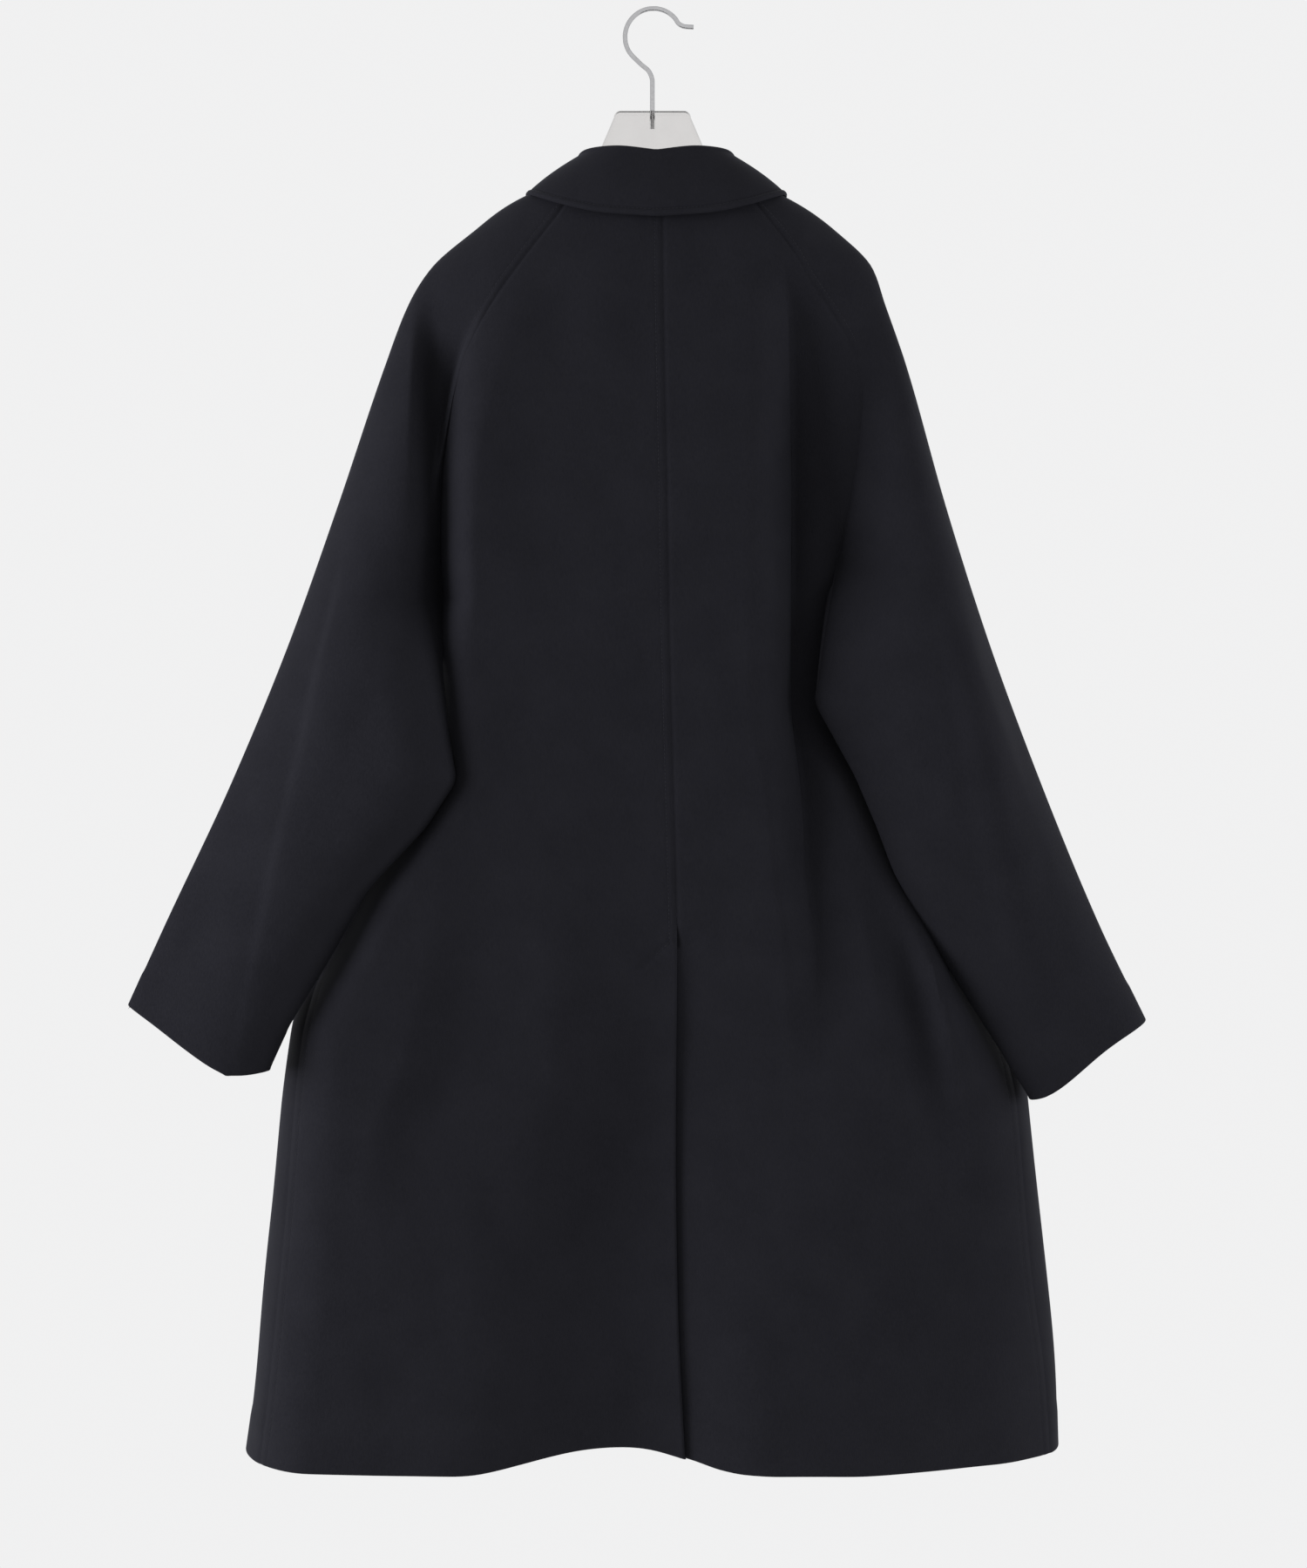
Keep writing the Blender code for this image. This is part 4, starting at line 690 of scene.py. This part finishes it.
def layPanel(node, points, outward, wall):
    piece = layGrid(pieceName(node), points, outward)
    thicken(piece, wall)
    piece.data.materials.append(woolMaterial)
    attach(piece, "root")
    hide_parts(node)
    return piece


panels = {}
for node, part in parts.items():
    panels[node] = part["points"] - part["normals"] * part["sink"][..., None]
    layPanel(node, panels[node], (0, 1 if "front" in node else -1, 0), cloth["wall"])
print("panels laid")

# collar: angle from the back of the neck, then across, depth and down of its roll and of its free edge
collar = {
    "wall": 0.0028, "across": 0.0025, "depth": -0.006, "end": 0.0012, "rollGap": 0.0015, "rollNeck": 0.004,
    "bow": 0.0034, "stations": 190, "evened": 12, "station": 0.0035, "sewn": 0.0003, "edgeRoll": 0.0026,
    "bead": 0.001, "beadSoft": 0.001, "groove": 0.0011, "grooveAt": 0.0056, "grooveWidth": 0.0009,
    "leaf": 0.062, "leafEdge": 0.0105, "standRows": 9, "rollRows": 15, "leafRows": 17,
    "edgeSteps": np.array([0.0085, 0.0074, 0.0065, 0.0056, 0.0047, 0.0038, 0.0028, 0.0019,
                           0.0012, 0.0006, 0.0002, 0.0]),
    "rows": [
        (0, 0, -0.06, 0.1355, 0, -0.076, 0.195), (25, 0.03, -0.057, 0.1315, 0.045, -0.0735, 0.1915),
        (50, 0.052, -0.044, 0.13, 0.083, -0.0655, 0.1818), (75, 0.063, -0.02, 0.1285, 0.109, -0.04, 0.169),
        (90, 0.066, 0, 0.13, 0.115, 0, 0.1632), (105, 0.065, 0.014, 0.137, 0.114, 0.024, 0.1668),
        (130, 0.052, 0.034, 0.16, 0.092, 0.057, 0.205), (155, 0.028, 0.046, 0.19, 0.07, 0.068, 0.255),
        (180, 0.003, 0.051, 0.213, 0.045, 0.072, 0.3)]}


def neckLine():
    runs = []
    for s in sides:
        front = panels["front_" + s][0][::-1]
        front = front[sign[s] * front[:, 0] >= 0]
        back = panels["back_" + s][0]
        back = back[sign[s] * (back[:, 0] - read(centre, 1, level["nape"])) >= 0]
        shoulder = [panels["sleeve_front_" + s][0][1:-1], panels["sleeve_back_" + s][0][::-1][:-1]]
        run = np.concatenate([front, *shoulder, back])
        runs.append(run if s == "left" else run[::-1])
    line = np.concatenate(runs) * flip
    length = runAlong(line)
    even = np.linspace(collar["end"], length[-1] - collar["end"], collar["stations"])
    line = np.stack([np.interp(even, length, line[:, k]) for k in range(3)], axis=-1)
    for _ in range(collar["evened"]):  # the dips of the seams are evened out
        line[1:-1] = (line[:-2] + 2 * line[1:-1] + line[2:]) / 4
    return line


def collarFaces():
    neck = neckLine()
    middle = collar["across"] * (1 - ease(collar["depth"], neck[0, 1], neck[:, 1]))
    angle = np.degrees(np.arctan2(neck[:, 0] - middle, collar["depth"] - neck[:, 1]))
    got = [read(collar["rows"], k, np.abs(angle)) for k in range(1, 7)]
    roll = np.stack([middle + np.sign(angle) * got[0], got[1], got[2]], axis=-1)
    free = np.stack([middle + np.sign(angle) * got[3], got[4], got[5]], axis=-1)
    along = np.gradient(roll, axis=0)
    out = np.stack([-along[:, 1], along[:, 0], np.zeros(len(roll))], axis=-1)
    out *= np.sign(np.sum(out * (roll - (collar["across"], collar["depth"], 0.0)), axis=1, keepdims=True))
    out /= np.linalg.norm(out, axis=1, keepdims=True)
    up = np.array([0.0, 0.0, -1.0])
    radius = collar["wall"] + collar["rollGap"] / 2
    top = roll - up * (radius + collar["rollNeck"])
    stand = mix((neck + up * collar["sewn"])[None], top[None], np.linspace(0, 1, collar["standRows"])[:, None, None])
    seat = top + up * collar["sewn"]
    bend = seat + up * collar["rollNeck"] + out * collar["rollGap"] / 2
    turn = np.linspace(math.pi, 0, collar["rollRows"])[:, None, None]
    rollRows = bend + radius * (np.cos(turn) * out + np.sin(turn) * up)
    start = rollRows[-1]
    bow = mix(start, free, 0.5) + collar["bow"] * (out + up)
    plain = np.linspace(0, 1 - collar["leafEdge"] / collar["leaf"], collar["leafRows"])[1:]
    t = np.r_[plain, 1 - collar["edgeSteps"] / collar["leaf"]][:, None, None]
    leaf = start * (1 - t) ** 2 + bow * 2 * t * (1 - t) + free * t * t
    slope = 2 * (1 - t) * (bow - start) + 2 * t * (free - bow)
    square = np.cross(slope, np.gradient(leaf, axis=1))
    square /= np.linalg.norm(square, axis=2, keepdims=True)
    square *= np.sign(np.sum(square * (out + up), axis=2, keepdims=True))
    toEnds = np.minimum(np.arange(len(neck)), np.arange(len(neck))[::-1]) * collar["station"]
    far = np.minimum((1 - t) * collar["leaf"], toEnds[None, :, None])
    off = far - collar["grooveAt"]
    lift = collar["bead"] * (1 - ease(-collar["beadSoft"], collar["beadSoft"], off))
    lift = lift - collar["groove"] * np.exp(-(off / collar["grooveWidth"]) ** 2) - edgeRoll(far, collar["edgeRoll"])
    leaf = leaf + square * lift
    foot = (seat - out * collar["wall"])[None]
    fall = np.r_[foot, mix(foot, rollRows[:1], 0.5), rollRows, leaf]
    outward = np.r_[np.repeat(-out[None], 2, axis=0), np.cos(turn) * out + np.sin(turn) * up, square]
    return stand * flip, np.broadcast_to(out, stand.shape) * flip, fall * flip, outward * flip


standPoints, standOut, fallPoints, fallOut = collarFaces()
layPanel("collar_stand", standPoints, standOut, collar["wall"])
layPanel("collar_fall", fallPoints, fallOut, collar["wall"])
print("collar laid")


def pathObject(name, points, closed):
    bpy.ops.object.select_all(action="DESELECT")
    bpy.ops.curve.primitive_nurbs_path_add(radius=1.0, location=(0, 0, 0))
    path = bpy.context.object
    path.name = name
    path.data.name = name
    spline = path.data.splines[0]
    spline.type = "POLY"
    spline.points.add(len(points) - len(spline.points))
    for spot, place in zip(spline.points, points):
        spot.co = (*place, 1.0)
    spline.use_cyclic_u = closed
    return path


# sewing: rows of single stitches in the cloth's own thread, a little sunk in their line
stitch = {"length": 0.0024, "pitch": 0.0034, "thread": 0.0003, "proud": 0.00008, "column": 6, "collarRow": 36,
          "first": 3, "last": -9, "sideFrom": 12, "collarEnds": slice(4, -4), "aboveBar": 0.004,
          "raglanTo": {"back": 34, "front": 62}}


def threadLook():
    tones = (0.006, 0.006, 0.0082), (0.011, 0.011, 0.0145)
    return noiseLook("navyThread", {"Roughness": 0.6, "Specular IOR Level": 0.2}, {"Scale": 1800.0}, tones)


def stitchRow(line):
    path = pathObject("stitchPath", line, False)
    path.data.dimensions = "3D"
    bpy.ops.object.select_all(action="DESELECT")
    bpy.ops.mesh.primitive_uv_sphere_add(segments=6, ring_count=4, radius=stitch["thread"])
    row = bpy.context.object
    bpy.ops.object.mode_set(mode="EDIT")
    bpy.ops.mesh.select_all(action="SELECT")
    bpy.ops.transform.rotate(value=math.pi / 2, orient_axis="Y", center_override=(0, 0, 0))
    bpy.ops.transform.resize(value=(stitch["length"] / stitch["thread"] / 2, 1, 1), center_override=(0, 0, 0))
    bpy.ops.object.mode_set(mode="OBJECT")
    repeat = row.modifiers.new("repeat", "ARRAY")
    repeat.fit_type = "FIT_CURVE"
    repeat.curve = path
    repeat.use_relative_offset = False
    repeat.use_constant_offset = True
    repeat.constant_offset_displace = (stitch["pitch"], 0, 0)
    follow = row.modifiers.new("follow", "CURVE")
    follow.object = path
    follow.deform_axis = "POS_X"
    bpy.ops.object.modifier_apply(modifier="repeat")
    bpy.ops.object.modifier_apply(modifier="follow")
    bpy.ops.object.shade_smooth()
    bpy.data.objects.remove(path)
    return row


def seamLine(node, rows, column=stitch["column"]):
    return panels[node][rows, column] + parts[node]["normals"][rows, column] * stitch["proud"]


def ventBarLine():
    share = np.linspace(0.02, 0.98, 24)
    across = mix(vent["barFrom"][0], vent["barTo"][0], share)
    down = mix(vent["barFrom"][1], vent["barTo"][1], share)
    depth = backDepth(across, down) + vent["barDent"] - stitch["proud"]
    return np.stack([across, depth, -down], axis=-1)


midRow = int(np.sum(bodyRows < level["ventTop"] - stitch["aboveBar"]))
sideRows = slice(underRow + stitch["sideFrom"], stitch["last"])
farColumn = -1 - stitch["column"]
collarSpots = stitch["collarRow"], stitch["collarEnds"]
sewn = {"collar_fall": [fallPoints[collarSpots] + fallOut[collarSpots] * stitch["proud"]],
        "back_left": [seamLine("back_left", slice(stitch["first"], midRow), farColumn), ventBarLine(),
                      seamLine("back_left", sideRows)],
        "back_right": [seamLine("back_right", sideRows)],
        "front_left": [seamLine("front_left", slice(stitch["first"], stitch["last"]), farColumn)]}
for s in sides:
    for face in ("back", "front"):
        node = "sleeve_" + face + "_" + s
        sewn[node] = [seamLine(node, slice(stitch["first"], stitch["raglanTo"][face]))]
threadMaterial = threadLook()
for node, lines in sewn.items():
    rows = [stitchRow([tuple(map(float, spot)) for spot in line]) for line in lines]
    bpy.ops.object.select_all(action="DESELECT")
    for row in rows:
        row.select_set(True)
    bpy.context.view_layer.objects.active = rows[0]
    if len(rows) > 1:
        bpy.ops.object.join()
    piece = rows[0]
    piece.name = pieceName("stitches_" + node)
    piece.data.name = piece.name
    piece.data.materials.append(threadMaterial)
    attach(piece, "root")
print("sewing done")
# clear hanger: flat plate with arms under the shoulders
hanger = {"across": -0.001, "thick": 0.008, "edge": 0.0012, "rim": 0.0036, "recess": 0.0012, "top": 0.0884,
          "topHalf": 0.0337, "corner": 0.006, "neck": [(0.0432, 0.1167), (0.053, 0.141), (0.065, 0.159)],
          "armStart": 0.078, "armEnd": 0.165, "under": 0.0052, "lowest": 0.24, "dip": 0.0025, "dipFrom": 0.125,
          "dipRun": 0.04, "tip": 0.009, "below": [(0.12, 0.206), (0.07, 0.188), (0.000, 0.18)]}
hook = {"wire": 0.004, "radius": 0.025, "tailAngle": 22.0, "backAngle": 212.0, "tail": 0.012,
        "tailLine": [(1.0, 0.0008), (0.35, 0.0002)], "tailBend": 6, "neck": [(-0.0115, 0.0465), (-0.0035, 0.054)],
        "neckRun": 0.008, "foot": 0.104, "bore": 0.0003}


def hangerHalf(s):
    line = overarm[s]
    half = []
    for turn in np.radians(np.linspace(0, 90, 9)):
        half.append((hanger["topHalf"] - hanger["corner"] * (1 - math.sin(turn)),
                     hanger["top"] + hanger["corner"] * (1 - math.cos(turn))))
    half += hanger["neck"]
    downs = np.linspace(line[0][0], hanger["lowest"], 200)
    acrosses = sign[s] * read(line, 1, downs) - sign[s] * hanger["across"]
    lean = np.hypot(1, np.gradient(downs, acrosses))
    for across in np.linspace(hanger["armStart"], hanger["armEnd"], 16):
        dip = hanger["dip"] * max(0, (across - hanger["dipFrom"]) / hanger["dipRun"]) ** 2
        half.append((across, np.interp(across, acrosses, downs + hanger["under"] * lean) + dip))
    tip = half[-1]
    slope = math.atan2(tip[1] - half[-2][1], tip[0] - half[-2][0])
    for turn in np.radians([25, 50, 75, 100, 125, 150]):
        angle = turn + slope - math.pi / 2
        half.append((tip[0] + hanger["tip"] * (math.cos(angle) - math.sin(slope)),
                     tip[1] + hanger["tip"] * (math.sin(angle) + math.cos(slope))))
    return half + hanger["below"]


def clearLook(name, *tones):
    return noiseLook(name, {"Transmission Weight": 1.0, "IOR": 1.49}, {"Scale": 60.0}, tones, (0.05, 0.14))


def steelLook():
    # the low specular tint dims the grazing reflections: painted shade on the wire's sides
    shader = {"Metallic": 1.0, "Specular Tint": (0.3, 0.3, 0.32, 1.0)}  # darker towards the wire's sides
    tones = (0.42, 0.42, 0.43), (0.62, 0.62, 0.63)
    return noiseLook("brightSteel", shader, {"Scale": 420.0, "Detail": 3.0}, tones, (0.14, 0.3))


ring = [(a + hanger["across"], -d, 0.0) for a, d in hangerHalf("right")]
ring += [(-a + hanger["across"], -d, 0.0) for a, d in hangerHalf("left")[::-1][1:]]
plateBody = pathObject("hangerBody", ring, True)
curve = plateBody.data
curve.dimensions = "2D"
curve.fill_mode = "BOTH"
curve.extrude = hanger["thick"] / 2 - hanger["edge"]
curve.bevel_depth = hanger["edge"]
curve.bevel_resolution = 3
curve.offset = -hanger["edge"]
plateBody.rotation_euler = (math.pi / 2, 0, 0)
bpy.ops.object.convert(target="MESH")
bpy.ops.object.transform_apply(location=True, rotation=True, scale=True)
bpy.ops.object.mode_set(mode="EDIT")
bpy.ops.mesh.select_all(action="SELECT")
bpy.ops.mesh.remove_doubles(threshold=0.00001)
bpy.ops.mesh.normals_make_consistent(inside=False)
bpy.ops.object.mode_set(mode="OBJECT")
boreDepth = hook["foot"] - hanger["top"] + hook["bore"]
bpy.ops.mesh.primitive_cylinder_add(vertices=32, radius=hook["wire"] / 2 + hook["bore"], depth=2 * boreDepth,
                                    location=(hanger["across"], 0, -hanger["top"]))
drill = bpy.context.object
bore = plateBody.modifiers.new("bore", "BOOLEAN")
bore.operation = "DIFFERENCE"
bore.object = drill
bpy.context.view_layer.objects.active = plateBody
bpy.ops.object.modifier_apply(modifier="bore")
bpy.data.objects.remove(drill)
bpy.ops.object.select_all(action="DESELECT")
plateBody.select_set(True)
bpy.ops.object.shade_smooth_by_angle(angle=math.radians(40))
plateBody.data.materials.clear()
# plate tint: a warm grey of its own, made a little darker as painted shadow from behind the plate
plateBody.data.materials.append(clearLook("clearAcrylic", (0.72, 0.705, 0.695), (0.785, 0.77, 0.76)))
# edge faces get a darker tint than the flat faces: painted shade for the grey lines that clear edges show
plateBody.data.materials.append(clearLook("clearEdgePaintedShade", (0.54, 0.54, 0.535), (0.64, 0.64, 0.635)))
bpy.ops.object.mode_set(mode="EDIT")
bpy.ops.mesh.select_all(action="DESELECT")
bpy.ops.object.mode_set(mode="OBJECT")
for face in plateBody.data.polygons:  # the two flat faces
    face.select = abs(face.normal.y) > 0.99 and abs(face.center.y) > 0.49 * hanger["thick"]
bpy.ops.object.mode_set(mode="EDIT")
bpy.ops.mesh.inset(thickness=hanger["rim"], depth=-hanger["recess"])
bpy.ops.object.mode_set(mode="OBJECT")
# flat faces keep the plate's tint; every edge face takes the darker tint, which is painted edge shade
for face in plateBody.data.polygons:
    face.material_index = 0 if abs(face.normal.y) > 0.9 else 1
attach(plateBody, "root")
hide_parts("hanger_body")

hookMiddle = hook["radius"] - hook["wire"] / 2
mouth = (hook["radius"] * math.cos(math.radians(hook["tailAngle"])),
         hookMiddle - hook["radius"] * math.sin(math.radians(hook["tailAngle"])))
bendLine = [(mouth[0] + share * hook["tail"], mouth[1] + drop) for share, drop in hook["tailLine"]]
for angle in np.radians(np.linspace(hook["tailAngle"] + hook["tailBend"], hook["backAngle"], 17)):
    bendLine.append((hook["radius"] * math.cos(angle), hookMiddle - hook["radius"] * math.sin(angle)))
bendLine += hook["neck"]
bendLine += [(hanger["across"], hook["neck"][-1][1] + hook["neckRun"]), (hanger["across"], hook["foot"])]
bendLine = np.array(bendLine)
run = runAlong(bendLine)
fine = np.linspace(0, run[-1], 150)
wireLine = [(smooth(run, bendLine[:, 0], f), 0.0, -smooth(run, bendLine[:, 1], f)) for f in fine]
wire = pathObject("hangerHook", wireLine, False)
wire.data.dimensions = "3D"
wire.data.bevel_depth = hook["wire"] / 2
wire.data.bevel_resolution = 6
wire.data.use_fill_caps = True
bpy.ops.object.convert(target="MESH")
bpy.ops.object.shade_smooth_by_angle(angle=math.radians(50))
wire.data.materials.clear()
wire.data.materials.append(steelLook())
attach(wire, "root")
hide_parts("hanger_hook")
print("hanger made")


# plain pale room: floor disc under the coat, soft light mostly from the left
def paperLook():
    return noiseLook("palePaper", {"Roughness": 0.9}, {"Scale": 35.0}, ((0.41, 0.41, 0.41), (0.44, 0.44, 0.44)))


bpy.ops.mesh.primitive_circle_add(vertices=96, radius=1.25, fill_type="NGON", location=(0, 0, -1.8))
floor = bpy.context.object
floor.name = "floor"
floor.data.materials.append(paperLook())

world = bpy.data.worlds.new("paleRoom")
world.use_nodes = True
setNode(world, world.node_tree.nodes["Background"], {"Color": (0.875, 0.875, 0.878, 1.0), "Strength": 1.0}, {})
bpy.context.scene.world = world
bpy.context.scene.view_settings.view_transform = "Standard"

aimAt = np.array((0, 0, -0.65))
lamps = {"key": ((-2.6, -0.8, -0.45), 1.8, 222.0), "side": ((2.5, -0.9, -0.6), 1.8, 106.0),
         "front": ((0.2, 3.0, -0.3), 1.0, 130.0)}
for name, (spot, size, power) in lamps.items():
    bpy.ops.object.light_add(type="AREA", location=spot)
    lamp = bpy.context.object
    lamp.name = name
    lamp.data.size = size
    lamp.data.energy = power
    lamp.visible_camera = False
    lamp.visible_glossy = False
    lamp.visible_transmission = False
    aim = aimAt - np.array(spot)
    lamp.rotation_euler = (math.acos(-aim[2] / np.linalg.norm(aim)), 0, math.atan2(aim[1], aim[0]) - math.pi / 2)

bpy.ops.object.camera_add(location=(0, -2.5, -0.679), rotation=(math.pi / 2, 0, 0))
camera = bpy.context.object
camera.data.sensor_width = 36.0
camera.data.lens = 65.36
camera.data.dof.use_dof = False
bpy.context.scene.camera = camera
print("room lit")
